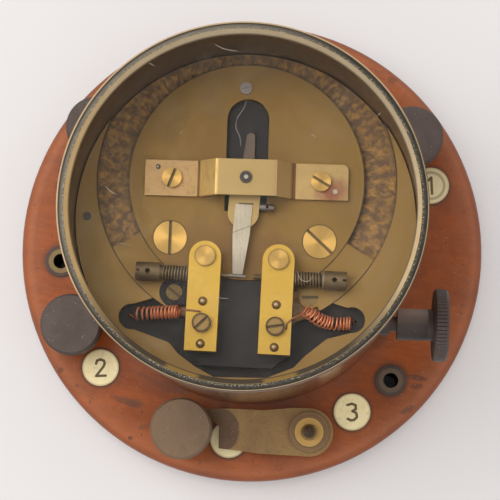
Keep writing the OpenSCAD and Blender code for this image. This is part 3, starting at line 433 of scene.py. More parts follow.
def plate_brass():
    """Top plate and sector: olive brown, with soft amber patches on the channel's floor, painted shade at
    the left and along the channel's walls, and painted light towards the outer edge.
    """
    p = Metal("plate_brass", (148, 113, 51), (135, 102, 46), (102, 77, 40),
              rough=(0.46, 0.6), metal=0.45, scratch=0.22, speck=0.06)
    x = p.axis("X")
    z = p.axis("Z")
    p.tint((152, 120, 62), p.rise(x, -10, 40, 0.35))
    # Painted shade: the case wall's shadow on the left of the plate
    p.tint((112, 94, 72), p.fall(x, -54, -44, 0.25))
    p.tint((118, 84, 60), p.patch((-14, -9), (13, 7), 20, 0.5, 1.0), 0.35)
    p.tint((112, 76, 54), p.patch((6, -12), (9, 9), 0, 0.5, 1.0), 0.4)
    reach, angle = p.reach(arbor_place)
    # Painted light: the plate lighter towards its outer edge, where the case wall shades it
    p.tint((184, 148, 86), p.rise(reach, 37, 50, 0.5))
    # Dark joints round the channel and the flush screws
    for seam in (channel_r1, channel_r2):
        p.tint((66, 52, 42), p.fall(p.off(reach, seam), 0.1, 0.3, 0.75))
    for head in flush:
        p.tint((70, 54, 40), p.fall(p.off(p.reach(head)[0], head.radius), 0.1, 0.3, 0.8))
    p.tint((84, 64, 46), p.specks(0.3, 0.05, 11), 0.6)
    # The channel's floor, with clouds that follow its curve
    along = p.times(angle, (channel_r1 + channel_r2) / 2)
    unrolled = p.node("CombineXYZ", X=along, Y=reach).outputs[0]
    cloud = p.noise(0.36, 3, 0.6, 0.3, (0.8, 1.1, 1), place=unrolled)
    small = p.noise(1.3, 4, 0.7, place=unrolled, shift=(5, 2, 1))
    amber = p.span(p.plus(cloud, p.span(small, 0.3, 0.7, -0.06, 0.06)), 0.42, 0.68)
    floor_colour = p.mix(p.times(amber, 0.8), (116, 90, 66), (206, 154, 74))
    olive = p.rise(p.noise(0.12, 4, 0.6, shift=(6, 6, 6)), 0.45, 0.65, 0.5)
    floor_colour = p.mix(olive, floor_colour, (142, 112, 74))
    # Painted shade on the channel's floor along its inner and outer walls
    inner_wall_shade = p.fall(reach, channel_r1 + 0.2, channel_r1 + 1.4, 0.5)
    outer_wall_shade = p.rise(reach, channel_r2 - 1.0, channel_r2, 0.45)
    floor_colour = p.mix(p.math("MAXIMUM", inner_wall_shade, outer_wall_shade), floor_colour, (66, 54, 46))
    sunk = p.times(p.under(z, plate_z - channel_depth / 2), p.over(z, plate_z - channel_depth * 1.6))
    within = p.times(p.over(reach, channel_r1 - 0.3), p.under(reach, channel_r2 + 0.3))
    p.tint(floor_colour, sunk, within)
    return p.done()


def bridge_brass():
    """Rolled brass: pinkish gold at the left foot, grey gold in the middle and olive at the right, with
    painted highlights on the slopes.
    """
    p = Metal("bridge_brass", (196, 164, 104), (182, 150, 96), (140, 108, 70),
              rough=(0.38, 0.52), metal=0.5, scratch=0.35, speck=0.08)
    x = p.less(p.axis("X"), arbor_x)
    y = p.less(p.axis("Y"), arbor_y)
    p.tint((188, 150, 100), p.fall(x, -17, -14, 0.7))
    # Painted highlights: both slopes lighter than the flats, the left one, which faces the lamp, most
    up_slope = p.band(x, -slope_out - 0.3, -slope_in + 0.4, 0.8)
    p.tint((255, 214, 128), up_slope, 0.9)
    p.tint((178, 150, 94), p.band(x, -9.5, 10, 1), 0.7)
    down_slope = p.band(x, slope_in + 0.2, slope_out + 0.3, 0.8)
    p.tint((226, 188, 120), down_slope, 0.9)
    rust = p.patch((arbor_x + 27.8, arbor_y - 2.9), (4.2, 3.4), 0, 0.4, 1.0)
    p.tint((146, 76, 60), rust, 0.85)
    # Red oxide in the right bends, a dark line in the left one
    p.tint((128, 74, 66), p.fall(p.off(x, 15.1), 0, 0.9, 0.8))
    p.tint((128, 74, 66), p.fall(p.off(x, 9.6), 0, 0.9, 0.3))
    p.tint((92, 72, 54), p.fall(p.off(x, -15.5), 0, 0.4, 0.6))
    p.tint((90, 68, 50), p.specks(0.35, 0.06, 7), 0.7)
    streaks = p.rise(p.noise(2.2, 4, 0.7, 0, (1, 9, 1)), 0.5, 0.7)
    p.tint((150, 108, 62), up_slope, streaks, 0.4)
    pinkish = p.rise(p.noise(0.9, 5, 0.7, shift=(2, 8, 1)), 0.5, 0.65)
    p.tint((150, 104, 74), p.fall(x, -17, -15.4), pinkish, 0.45)
    # Painted shade: a dark line on the carrier where the tongue's upper end goes under it
    tongue_end_shade = p.times(p.fall(p.off(y, -8.1), 0.12, 0.3), p.under(p.off(x, 0.2), 2.4))
    p.tint((58, 48, 40), tongue_end_shade, 0.9)
    return p.done()


def arbor_steel():
    """Pivot screw and the plate's pin: dark, with a painted highlight on the pivot's small domed centre and
    a dark ring round it.
    """
    p = Metal("dark_steel", (96, 88, 82), (74, 68, 64), (48, 40, 36), rough=(0.28, 0.42), metal=0.6)
    reach = p.reach(arbor_place)[0]
    # Painted highlight on the top of the pivot's dome
    p.tint((196, 184, 170), p.fall(reach, 0.5, 0.8, 0.8))
    p.tint((54, 44, 40), p.rise(reach, 0.8, 1.0), p.fall(reach, 1.4, 1.7, 0.7))
    return p.done()


def contact_screw_brass():
    """Contact screws: olive brown, with painted highlights on the threads' crests and painted shade in their
    grooves.
    """
    p = Metal("contact_brass", (132, 111, 76), (106, 86, 62), (62, 47, 38), metal=0.5)
    x = p.less(p.axis("X"), arbor_x)
    lean = math.tan(math.radians(carriage_set))
    y = p.plus(p.axis("Y"), p.times(x, -lean), contact_y - arbor_y)
    out = p.length(y, p.less(p.axis("Z"), axis_z))
    beside = p.off(x, 0)
    threaded = p.times(p.over(beside, thread_start - 2.3), p.under(beside, thread_end + 0.1))
    # Painted shade in the thread's grooves and painted highlights on its crests
    p.tint((52, 40, 32), threaded, p.fall(out, thread_r + 0.02, thread_r + 0.1, 0.9))
    p.tint((170, 144, 100), threaded, p.rise(out, thread_r + 0.1, thread_r + 0.22, 0.6))
    return p.done()


def bright_steel():
    """Steel parts: a dark pin in the bridge's left foot and a worn pale one in the right foot."""
    p = Metal("steel", (156, 146, 138), (124, 114, 108), (80, 68, 60), rough=(0.3, 0.45), metal=0.7)
    left = p.reach((arbor_x - pin_x, arbor_y + left_pin_y))[0]
    right = p.reach((arbor_x + pin_x, arbor_y + right_pin_y))[0]
    p.tint((58, 48, 40), p.fall(left, 1.2, 1.4, 0.85))
    # Painted highlight at the top of the left pin's dome
    p.tint((190, 176, 150), p.fall(left, 0.2, 0.4, 0.6))
    p.tint((196, 184, 160), p.fall(right, 1.2, 1.4, 0.8))
    return p.done()


def tongue_silver():
    """Tongue: brushed lengthwise, greyer towards the contact pin, with a fine dark hair across it."""
    p = Metal("german_silver", (206, 194, 170), (190, 178, 154), (136, 122, 100),
              rough=(0.38, 0.5), metal=0.4, scratch=0.3)
    x = p.axis("X")
    y = p.axis("Y")
    brushed = p.noise(1.6, 4, 0.65, 0, (1, 14, 1))
    p.tint((160, 150, 130), p.rise(brushed, 0.45, 0.7, 0.5))
    p.tint((132, 120, 112), p.fall(y, arbor_y - 31, arbor_y - 22, 0.6))
    hair = p.off(p.plus(y, p.times(x, -0.41)), -3.2)
    p.tint((84, 72, 56), p.fall(hair, 0.05, 0.2, 0.7))
    return p.done()


def on_head(p, head):
    """Distance from the head's middle, and 1 inside its radius."""
    reach = p.reach(head)[0]
    return reach, p.under(reach, head.radius)


def slot_marks(p, heads, half_wide=0.5):
    """Darker along the slot of each head."""
    for head in heads:
        turn = math.radians(head.turn)
        moved = p.turned(0, head)
        x = p.axis("X", moved)
        y = p.axis("Y", moved)
        across = p.off(p.plus(p.times(x, -math.sin(turn)), p.times(y, math.cos(turn))), 0)
        slot = p.fall(across, half_wide - 0.12, half_wide + 0.12, 0.8)
        p.tint((82, 66, 44), slot, p.under(p.length(x, y), head.radius))


def turning_marks_and_highlights(p, heads, lobe_turn=-12, gain=1.5):
    """Fine turning marks on each head, and its painted reflection: the two bright lobes of a turned face,
    with painted shade between them.
    """
    pitch = 0.3
    for head in heads:
        reach, angle = p.reach(head)
        inside = p.under(reach, head.radius)
        # Painted reflection: bright lobes across the turning, darker between them
        lobes = p.math("COSINE", p.times(p.less(angle, math.radians(lobe_turn)), 2.0))
        bright = p.times(p.rise(lobes, 0.1, 0.95), p.rise(reach, 0.2, 1.2))
        p.tint(scaled(p.light, gain), bright, inside, 0.6)
        p.tint(scaled(p.light, 0.62), p.fall(lobes, -0.9, -0.2), inside, 0.45)
        wave = p.math("SINE", p.times(reach, 2 * math.pi / pitch))
        p.height = p.plus(p.height, p.times(wave, inside, 0.3))


def turned_brass():
    """The large flush screws, the bridge's screws and the fasteners of the posts."""
    p = Metal("screw_brass", (204, 163, 88), (190, 149, 78), (136, 101, 56),
              rough=(0.34, 0.48), metal=0.6, scratch=0.3, speck=0.04)
    turning_marks_and_highlights(p, flush + feet)
    turning_marks_and_highlights(p, clamps, 60, 1.6)
    for head in clamps:
        reach, inside = on_head(p, head)
        # Painted shade round the rim of each clamp screw's head
        p.tint((104, 78, 44), p.rise(reach, head.radius - 0.7, head.radius - 0.2, 0.7), inside)
        p.tint((170, 142, 78), inside, 0.2)
    for head in wires:
        reach, inside = on_head(p, head)
        p.tint((136, 110, 66), inside, 0.75)
        # Painted shade round the rim of each wire screw's head
        p.tint((84, 66, 42), p.rise(reach, head.radius - 0.9, head.radius - 0.4), inside)
    for head in rivets:
        reach, inside = on_head(p, head)
        p.tint((134, 108, 78), inside, 0.8)
        # Painted highlight at the middle of each rivet's dome
        p.tint((216, 188, 138), p.fall(reach, 0.2, 0.7, 0.6))
    for head, tone in zip(blocks, ((92, 76, 48), (124, 102, 62))):
        p.tint(tone, on_head(p, head)[1], 0.85)
    slot_marks(p, flush + feet + wires + blocks)
    return p.done()


def rim_metal():
    """Rim: a thin lip, a cream bevel and dark walls; painted shade at the front and the right, painted
    reflections and glints round the bevel.
    """
    p = Metal("rim_brass", (214, 188, 146), (198, 170, 126), (140, 112, 78),
              rough=(0.36, 0.5), metal=0.5, scratch=0.25, speck=0.06)
    reach, angle = p.reach()
    inward = p.less(rim_r, reach)

    def facing(turn):
        """Sine of the angle after a turn in radians, which picks a side of the rim."""
        return p.math("SINE", p.plus(angle, turn))

    groove = p.times(p.fall(inward, 2.1, 2.3), p.rise(inward, 0.35, 0.5))
    p.tint((74, 64, 54), groove, 0.9)
    p.tint((168, 146, 116), p.fall(inward, 0.3, 0.5, 0.7))
    shaded = p.rise(facing(2.6), -0.1, 0.3)
    lip = p.times(p.fall(inward, 0.45, 0.5), p.fall(inward, 0.2, 0.28))
    p.tint((66, 48, 38), shaded, lip, 0.9)
    p.tint((92, 74, 58), shaded, p.fall(inward, 0.2, 0.3), 0.6)
    bevel = p.rise(inward, 2.2, 2.4)
    # Painted reflections on the bevel, which change round the ring: golden at the front left, cool grey at
    # the back, dark at the front
    golden_reflection = p.fall(facing(0.6), -0.6, 0.1)
    p.tint((196, 156, 92), golden_reflection, bevel, 0.6)
    cool_reflection = p.rise(facing(0.3), 0.1, 0.8)
    p.tint((160, 148, 128), cool_reflection, bevel, 0.6)
    front = p.fall(facing(0), -0.8, -0.4)
    p.tint((58, 50, 40), front, bevel, 0.95)
    # Two painted glints on the bevel at the front
    for gleam_angle in (-108, -76):
        gleam = p.fall(p.off(angle, math.radians(gleam_angle)), 0.08, 0.11, 0.8)
        p.tint((160, 126, 62), gleam, bevel)
    p.tint((74, 60, 48), p.rise(inward, 3.3, 3.6, 0.8))
    p.tint((92, 72, 56), p.fall(p.axis("Z"), rim_z - 3.0, rim_z - 1.9, 0.85))
    # Painted shade on the rim's outer wall
    p.tint((84, 54, 40), p.walls(), p.under(inward, 0.2), 0.92)
    return p.done()


def case_brass():
    """Case wall: dark brown inside, lacquered brass gone brown outside."""
    p = Metal("case_brass", (156, 112, 74), (140, 98, 64), (104, 70, 48),
              rough=(0.13, 0.24), metal=0.9, speck=0.05)
    inside = p.under(p.reach()[0], case_wall_r - 0.5)
    p.tint((116, 98, 82), inside, 0.85)
    p.metal = p.less(p.metal, p.times(inside, 0.25))
    p.rough = p.plus(p.rough, p.times(inside, 0.15))
    return p.done()


def cement_paint():
    """Dark glazing cement with pale lumps, lighter at the back left."""
    p = Paint("cement")
    reach, angle = p.reach()
    p.base((36, 31, 25), (66, 58, 46), p.noise(1.1, 6, 0.75), 0.35, 0.65)
    # Lighter towards the back left
    back_left_side = p.rise(p.math("SINE", p.plus(angle, -0.9)), 0.1, 0.7)
    p.tint((142, 132, 118), back_left_side, 0.6)
    inner = p.span(reach, rim_r - 1.9, rim_r - 1.1, 0.1, -0.05)
    lumps = p.rise(p.plus(p.noise(1.9, 5, 0.8, shift=(3, 1, 4)), inner), 0.59, 0.66)
    p.tint((190, 184, 156), lumps, 0.85)
    p.tint((96, 94, 66), p.rise(p.noise(0.5, 4, 0.7, shift=(8, 1, 4)), 0.55, 0.7, 0.4))
    return p.finish(0.55, 0, p.noise(2.2, 6, 0.75), 0.2)


def glass_paint():
    """Clear glass as a thin coat: it shows only its sheen, its grime and its dust."""
    p = Paint("glass")
    grime = p.rise(p.noise(0.08, 5, 0.65, 0.6), 0.5, 0.8, 0.03)
    edge = p.span(p.node("LayerWeight", Blend=0.12).outputs["Fresnel"], 0.0, 1.0, 0.008, 0.5)
    dust = p.times(p.math("MAXIMUM", p.specks(0.16, 0.05, 9), p.specks(0.1, 0.08, 2)), 0.5)
    alpha = p.math("ADD", p.plus(edge, grime), dust, clamp=True)
    p.base((200, 202, 194), (226, 220, 206), dust, 0, 0.2)
    return p.finish(0.06, Alpha=alpha, IOR=1.5)


def ebonite():
    """Black ebonite with a dull film and fine dust on its upper faces."""
    p = Paint("ebonite")
    clouds = p.noise(0.12, 5, 0.65, 1.0)
    p.base((36, 32, 34), (47, 42, 43), clouds, 0.35, 0.7)
    film = p.rise(p.noise(0.6, 6, 0.72, 0.3), 0.45, 0.75, 0.35)
    p.tint((68, 62, 60), film, p.upward())
    grit = p.math("MAXIMUM", p.specks(0.16, 0.45, 2), p.specks(0.24, 0.18, 6))
    p.tint((136, 130, 124), grit, p.upward(), 0.6)
    rough = p.span(film, 0, 0.35, 0.5, 0.75)
    return p.finish(rough, 0, p.noise(1.5, 5, 0.7), 0.02, Specular_IOR_Level=0.3)


def ivory():
    """Inlaid discs: cream, with a brown edge, yellow clouds and a worn ring on the right one."""
    p = Paint("ivory")
    p.base((250, 233, 178), (255, 242, 192), p.noise(0.22, 4, 0.6), 0.4, 0.62)
    p.tint((196, 170, 118), p.rise(p.noise(0.5, 5, 0.65, shift=(5, 1, 1)), 0.52, 0.72, 0.35))
    for angle in label_angles:
        reach = p.reach(on_ring(angle))[0]
        edge = p.times(p.rise(reach, label_r - 0.8, label_r), p.under(reach, label_r + 0.5))
        p.tint((140, 116, 78), edge, 0.6)
    right = p.reach(on_ring(label_angles[2]))[0]
    here = p.under(right, label_r + 1)
    p.tint((196, 180, 136), here, 0.5)
    p.tint((150, 138, 104), p.band(right, 4.2, 5.6, 0.4), here, 0.75)
    crack = p.scratches(1.4, 9, 30, 0.008, (1, 7, 2), 0.58)
    p.tint((150, 118, 70), crack, 0.3)
    p.tint((120, 100, 74), p.specks(0.16, 0.05, 3), p.upward(), 0.5)
    return p.finish(0.42, 0, p.noise(1.4, 4, 0.6), 0.02, Coat_Weight=0.2, Coat_Roughness=0.3)


def engraved_ink():
    p = Paint("engraved_ink")
    p.base((92, 78, 50), (120, 104, 72), p.noise(1.6, 4, 0.7), 0.35, 0.7)
    return p.finish(0.7, 0, p.noise(3, 3, 0.7), 0.02)


def knob_bronze(name, light, dark):
    """Bronzed knobs with dust on their smooth tops and painted shade on their walls; the bias screw's neck
    has a painted highlight above and painted shade below.
    """
    p = Metal(name, light, dark, scaled(dark, 0.6), rough=(0.46, 0.6), metal=0.35, scratch=0.2, speck=0.05)
    # Painted shade: the walls darker than the tops
    p.tint(scaled(dark, 0.5), p.walls(), 0.5)
    x = p.axis("X")
    y = p.less(p.axis("Y"), neck_y)
    neck = p.times(p.under(p.off(y, 0), neck_r), p.over(x, 44), p.under(x, knob_x))
    # Painted highlight along the top of the bias screw's neck, painted shade under it
    p.tint((150, 132, 122), neck, p.rise(y, -0.5, 3.5, 0.8))
    p.tint((44, 34, 32), neck, p.fall(y, -4.5, -0.5, 0.85))
    return p.done()


def ferrule_bronze():
    """Ferrules: dark lips round a lighter brass step, and a hole painted black as shade."""
    p = Metal("ferrule_bronze", (92, 76, 66), (74, 60, 54), (46, 38, 34), metal=0.4, scratch=0.2)
    tones = (((112, 94, 74), 0.7), ((134, 112, 70), 0.9), ((134, 112, 70), 0.9))
    for angle, (tone, strength) in zip(ferrule_angles, tones):
        reach = p.reach(on_ring(angle))[0]
        step = p.times(p.fall(reach, 4.2, 4.6), p.rise(reach, 2.5, 2.8))
        p.tint(tone, step, p.upward(), strength)
        # Painted shade: the inside of each hole black
        p.tint((20, 16, 14), p.fall(reach, 2.6, 2.8))
    return p.done()


def link_brass():
    """Link, washers and studs: matte olive brown, with rings of other washers and a dark stud."""
    p = Metal("aged_brass", (156, 126, 80), (134, 106, 68), (86, 66, 48),
              rough=(0.44, 0.6), metal=0.4, scratch=0.35, speck=0.08)
    stud = p.reach(around(stud_angle, terminal_ring_r))[0]
    # Each ring: its outer edge, tone and strength
    rings = (
        (7.5, 0.3, (98, 76, 54), 0.7),
        (7.2, 0.3, (146, 117, 86), 0.8),
        (5.7, 0.2, (98, 74, 50), 0.8),
        (5.3, 0.2, (204, 166, 94), 0.9),
        (3.0, 0.2, (52, 36, 28), 0.95),
    )
    for edge, soft, tone, strength in rings:
        p.tint(tone, p.rise(p.less(edge, stud), 0, soft, strength), p.upward())
    # Painted shadow of the front knob, cast to its right across the link
    shade = p.patch((-10.2, -66.9), (8.3, 8.3), 0, 0.03, 0.08)
    p.tint((84, 64, 54), shade, 0.75)
    return p.done()


def baize():
    p = Paint("baize")
    nap = p.noise(5.5, 4, 0.8)
    p.base((38, 58, 34), (74, 98, 62), nap, 0.3, 0.7)
    p.tint((86, 82, 56), p.rise(p.noise(0.1, 4, 0.6), 0.5, 0.75, 0.5))
    return p.finish(0.95, 0, nap, 0.3, Sheen_Weight=0.4)


def silk_winding():
    p = Paint("winding")
    turns = p.math("SINE", p.times(p.axis("Z"), 2 * math.pi / 0.5))
    p.base((40, 56, 30), (104, 128, 74), turns, -0.6, 0.8)
    p.tint((120, 108, 66), p.rise(p.noise(0.3, 5, 0.65), 0.5, 0.75, 0.5))
    return p.finish(0.7, 0, p.noise(6, 3, 0.7), 0.05, Sheen_Weight=0.3)


def covered_lead():
    p = Paint("insulation")
    braid = p.noise(3.0, 3, 0.7, 0, (1, 1, 0.5), 30)
    p.base((62, 40, 30), (120, 84, 62), braid, 0.35, 0.65)
    return p.finish(0.85, 0, braid, 0.1)


def copper_wire():
    """Bare copper: orange in the coils and brown at the tails."""
    p = Paint("copper")
    tone = p.noise(0.7, 5, 0.7)
    p.base((238, 132, 86), (252, 172, 124), tone, 0.35, 0.65)
    p.tint((120, 66, 46), p.rise(p.noise(2.4, 3, 0.7, shift=(2, 2, 2)), 0.62, 0.75, 0.5))
    tail = p.rise(p.axis("Z"), post_top_z - 0.6, post_top_z + 0.1)
    p.tint((136, 100, 76), tail, 0.8)
    return p.finish(p.span(tone, 0.3, 0.7, 0.3, 0.42), 0.4, p.noise(8, 2, 0.5), 0.01)


def japanned():
    p = Paint("magnet_steel")
    chips = p.rise(p.noise(0.5, 6, 0.75, 0.6), 0.66, 0.7)
    p.colour = p.mix(chips, (34, 33, 36), (120, 112, 104))
    rough = p.span(p.noise(0.3, 4, 0.6), 0.3, 0.7, 0.3, 0.5)
    return p.finish(rough, p.times(chips, 0.8), p.noise(0.8, 4, 0.6), 0.03)


def fibre_paint():
    p = Paint("fibre")
    p.base((196, 184, 164), (224, 214, 198), p.noise(2, 3, 0.6), 0.3, 0.7)
    return p.finish(0.8)


paints = {
    "mahogany": mahogany(),
    "baize": baize(),
    "dark_bronze": knob_bronze("dark_bronze", (90, 78, 74), (78, 66, 61)),
    "brown_bronze": knob_bronze("brown_bronze", (130, 106, 82), (116, 94, 74)),
    "ferrule_bronze": ferrule_bronze(),
    "ivory": ivory(),
    "aged_brass": link_brass(),
    "case_brass": case_brass(),
    "rim_brass": rim_metal(),
    "cement": cement_paint(),
    "glass": glass_paint(),
    "plate_brass": plate_brass(),
    "screw_brass": turned_brass(),
    "bridge_brass": bridge_brass(),
    "post_brass": plain("post_brass", (218, 177, 72), (209, 168, 66), (164, 124, 50),
                        rough=(0.42, 0.54), metal=0.45, scratch=0.35, speck=0.08),
    "contact_brass": contact_screw_brass(),
    "ebonite": ebonite(),
    "steel": bright_steel(),
    "dark_steel": arbor_steel(),
    "german_silver": tongue_silver(),
    "iron": plain("iron", (136, 112, 94), (112, 94, 80), (84, 60, 46),
                  rough=(0.5, 0.65), metal=0.3),
    "magnet_steel": japanned(),
    "winding": silk_winding(),
    "insulation": covered_lead(),
    "copper": copper_wire(),
}
worn_edge = plain("worn_edge", (222, 192, 126), (206, 172, 104), (150, 116, 72),
                  rough=(0.34, 0.46))
ink = engraved_ink()
lint = fibre_paint()

# Each CAD node takes its slot's paint; some get a narrow bevel, worn bright on a few
edge_width = {
    "base_board": 0.6,
    "contact_posts": 0.22,
    "bridge": 0.18,
    "link_strap": 0.22,
    "top_plate": 0.12,
    "carriage_sector": 0.1,
    "tongue_carrier": 0.2,
    "carriage_block": 0.2,
}
worn_nodes = ("contact_posts", "link_strap", "bridge")
slot_of = {part["node"]: part["material_slot"] for part in frame["record"]["subparts"]}
for node, piece in frame["nodes"].items():
    piece.data.materials.clear()
    piece.data.materials.append(paints[slot_of[node]])
    if node in edge_width:
        bevel = piece.modifiers.new("edge", "BEVEL")
        bevel.width = edge_width[node] * MM
        bevel.segments = 2
        bevel.limit_method = "ANGLE"
        bevel.angle_limit = math.radians(40)
        if node in worn_nodes:
            piece.data.materials.append(worn_edge)
            bevel.material = 1


def add_mesh(name, points, faces, slot, body, material=None, smooth=True):
    """A piece from points in millimetres, which rides on a body."""
    mesh = bpy.data.meshes.new(name)
    mesh.from_pydata([Vector(p) * MM for p in points], [], faces)
    mesh.materials.append(material or paints[slot])
    for face in mesh.polygons:
        face.use_smooth = smooth
    mesh.validate()
    piece = bpy.data.objects.new(name, mesh)
    bpy.context.scene.collection.objects.link(piece)
    if body:
        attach(piece, body)
    return piece


def tube(path, radius, sides=10, taper=None):
    """Points and faces of a closed round tube along a path in millimetres."""
    points, faces = [], []
    count = len(path)
    side = None
    for i, at in enumerate(path):
        ahead = (path[min(i + 1, count - 1)] - path[max(i - 1, 0)]).normalized()
        if side is None:
            side = ahead.orthogonal().normalized()
        side = (side - ahead * side.dot(ahead)).normalized()
        up = ahead.cross(side)
        r = radius * (taper(i / (count - 1)) if taper else 1)
        for k in range(sides):
            a = 2 * math.pi * k / sides
            points.append(at + r * (math.cos(a) * side + math.sin(a) * up))
    for i in range(count - 1):
        for k in range(sides):
            m = (k + 1) % sides
            faces.append((i * sides + k, i * sides + m, (i + 1) * sides + m, (i + 1) * sides + k))
    faces.append(tuple(reversed(range(sides))))
    faces.append(tuple((count - 1) * sides + k for k in range(sides)))
    return points, faces


def ring_faces(steps, count, closed):
    """Faces between profiles of that many points that stand one after another round a circle."""
    faces = []
    for k in range(steps):
        m = (k + 1) % steps
        for j in range(count if closed else count - 1):
            n = (j + 1) % count
            faces.append((k * count + j, m * count + j, m * count + n, k * count + n))
    return faces


def bend_along(knots, fraction):
    """A point on the smooth curve through the knots, at that fraction of their number."""
    f = min(max(fraction, 0), 1) * (len(knots) - 1)
    i = min(int(f), len(knots) - 2)
    t = f - i
    a = knots[max(i - 1, 0)]
    b, c = knots[i], knots[i + 1]
    d = knots[min(i + 2, len(knots) - 1)]
    slope = c - a
    curve = 2 * a - 5 * b + 4 * c - d
    twist = 3 * b - a - 3 * c + d
    return 0.5 * (2 * b + slope * t + curve * t * t + twist * t ** 3)


# The two bare copper pigtails, each a coil between the plate and a post
wire_r = 0.3
coil_r = 1.98
rest_z = channel_z + 2.43
end_z = post_top_z + wire_r + 0.03


def pigtail(name, foot, knots, pitches, tail):
    """A coil along the knots, with the distance between its turns given turn by turn.

    Places are from the arbor across, from the carriage's front edge back, and up from the coil's
    rest height; those of the tail are up from its end on the post.
    """
    steps = 24
    here = Vector((arbor_x, arbor_y + front_y, 0))
    knots = [Vector((x, y, rest_z + z)) for x, y, z in knots]
    total = sum(pitches)
    route = [Vector((*foot, plate_under_z)), Vector((*foot, rest_z - 1.4))]
    done = 0.0
    for pitch in pitches:
        for k in range(steps):
            f = (done + pitch * k / steps) / total
            along = (bend_along(knots, f + 0.01) - bend_along(knots, f - 0.01)).normalized()
            side = along.cross(Vector((0, 0, 1))).normalized()
            up = side.cross(along)
            a = 2 * math.pi * k / steps
            route.append(bend_along(knots, f) + coil_r * (math.cos(a) * side + math.sin(a) * up))
        done += pitch
    route += [Vector((x, y, end_z + z)) for x, y, z in tail]
    points, faces = tube([p + here for p in route], wire_r, 8)
    piece = add_mesh(name, points, faces, "copper", None)
    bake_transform(piece)
    return piece


left_wire = pigtail(
    "pigtail_wire_left",
    foot=(-36.6, 4.2),
    knots=[(-34.2, 4.4, 0.1), (-28, 4.8, 1.1), (-20.8, 5.2, 2.7)],
    pitches=[2.6, 1.5, 1.5] + [1.05] * 8,
    tail=[(-19.7, 5.4, -1.33), (-19.2, 5.6, 0.2), (-17.6, 5.5, 0), (-15.4, 5.4, 0), (-13.3, 5.1, 0)],
)
right_wire = pigtail(
    "pigtail_wire_right",
    foot=(36.3, 3.8),
    knots=[(34.9, 3.3, 0), (30, 3, 0.2), (25.4, 3.9, 1.6), (20.7, 6.6, post_z + 2.9 - rest_z)],
    pitches=[1.1, 1.0, 1.1, 1.1, 1.9, 1.2, 1.05, 1.15, 1.15, 1.2, 1.2, 1.15, 1.2],
    tail=[(19.6, 5.6, -1.13), (18.3, 4.6, 0), (16.4, 3.9, 0), (14.6, 2.2, 0), (14.4, 0.2, 0)],
)
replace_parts(left_wire, "pigtail_left")
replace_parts(right_wire, "pigtail_right")


def contact_thread(name, side, body):
    """Thread on the exposed stretch of a contact screw: a ridge wound along its axis."""
    pitch, depth = 0.95, 0.26
    steps = 24
    root_r = thread_r - 0.02
    profile = ((-pitch * 0.42, root_r), (0, thread_r + depth), (pitch * 0.42, root_r))
    turn = Matrix.Rotation(math.radians(carriage_set), 3, "Z")
    count = int((thread_end - thread_start) / pitch * steps)
    points, faces = [], []
    for k in range(count + 1):
        a = 2 * math.pi * k / steps
        x = thread_start + pitch * k / steps
        for dx, r in profile:
            local = Vector((side * (x + dx), -contact_y + r * math.cos(a), r * math.sin(a)))
            points.append(turn @ local + Vector((arbor_x, arbor_y, axis_z)))
    for k in range(count):
        a, b = k * 3, (k + 1) * 3
        for j, m in ((0, 1), (1, 2), (2, 0)):
            faces.append((a + j, a + m, b + m, b + j) if side > 0 else (a + j, b + j, b + m, a + m))
    faces.append((0, 2, 1))
    faces.append((count * 3, count * 3 + 1, count * 3 + 2))
    return add_mesh(name, points, faces, "contact_brass", body)


contact_thread("contact_thread_left", -1, "contact_screw_left")
contact_thread("contact_thread_right", 1, "contact_screw_right")


def cement_ring():
    """Glazing cement: a lumpy ring that fills the rim's groove and laps over most of the lip."""
    low, high = mm("glass_cement")
    outer, inner = high.x, high.x - 1.9
    lap = 0.2
    rng = random.Random(4)
    steps, across = 720, 6
    points = []
    for k in range(steps):
        a = 2 * math.pi * k / steps
        lump = 0.18 * math.sin(a * 37 + 1) * math.sin(a * 11) + 0.1 * rng.random()
        for j in range(across + 1):
            r = inner + (outer - inner) * j / across
            dome = math.sin(math.pi * j / across) ** 0.7
            z = high.z - 0.15 + dome * (0.12 + lump + 0.12 * rng.random())
            points.append((r * math.cos(a), r * math.sin(a), z))
        brim = outer + lap * (0.5 + 0.5 * rng.random())
        points.append((brim * math.cos(a), brim * math.sin(a), rim_z + 0.03))
        points.append((outer * math.cos(a), outer * math.sin(a), low.z))
        points.append((inner * math.cos(a), inner * math.sin(a), low.z))
    faces = ring_faces(steps, across + 4, True)
    return add_mesh("glazing_cement", points, faces, "cement", "case")


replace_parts(cement_ring(), "glass_cement")


def coil(name, side):
    """A wound coil, with its turns as ridges."""
    low, high = mm("coil_windings")
    reach = (high.x - low.x) / 2
    radius = (high.y - low.y) / 2
    centre = Vector((arbor_x + side * (reach - radius), (low.y + high.y) / 2, 0))
    wire = 0.5
    ridge = 0.16
    turns = int((high.z - low.z) / wire)
    profile = []
    for k in range(turns):
        z = low.z + k * (high.z - low.z) / turns
        profile += [(radius - ridge, z), (radius, z + wire * 0.3), (radius, z + wire * 0.7)]
    profile.append((radius - ridge, high.z))
    steps = 72
    points = []
    for k in range(steps):
        a = 2 * math.pi * k / steps
        for r, z in profile:
            points.append(centre + Vector((r * math.cos(a), r * math.sin(a), z)))
    count = len(profile)
    faces = ring_faces(steps, count, False)
    faces.append(tuple(k * count for k in reversed(range(steps))))
    faces.append(tuple(k * count + count - 1 for k in range(steps)))
    return add_mesh(name, points, faces, "winding", "base")


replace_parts(coil("wound_coil_left", -1), "coil_windings")
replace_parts(coil("wound_coil_right", 1), "coil_windings")

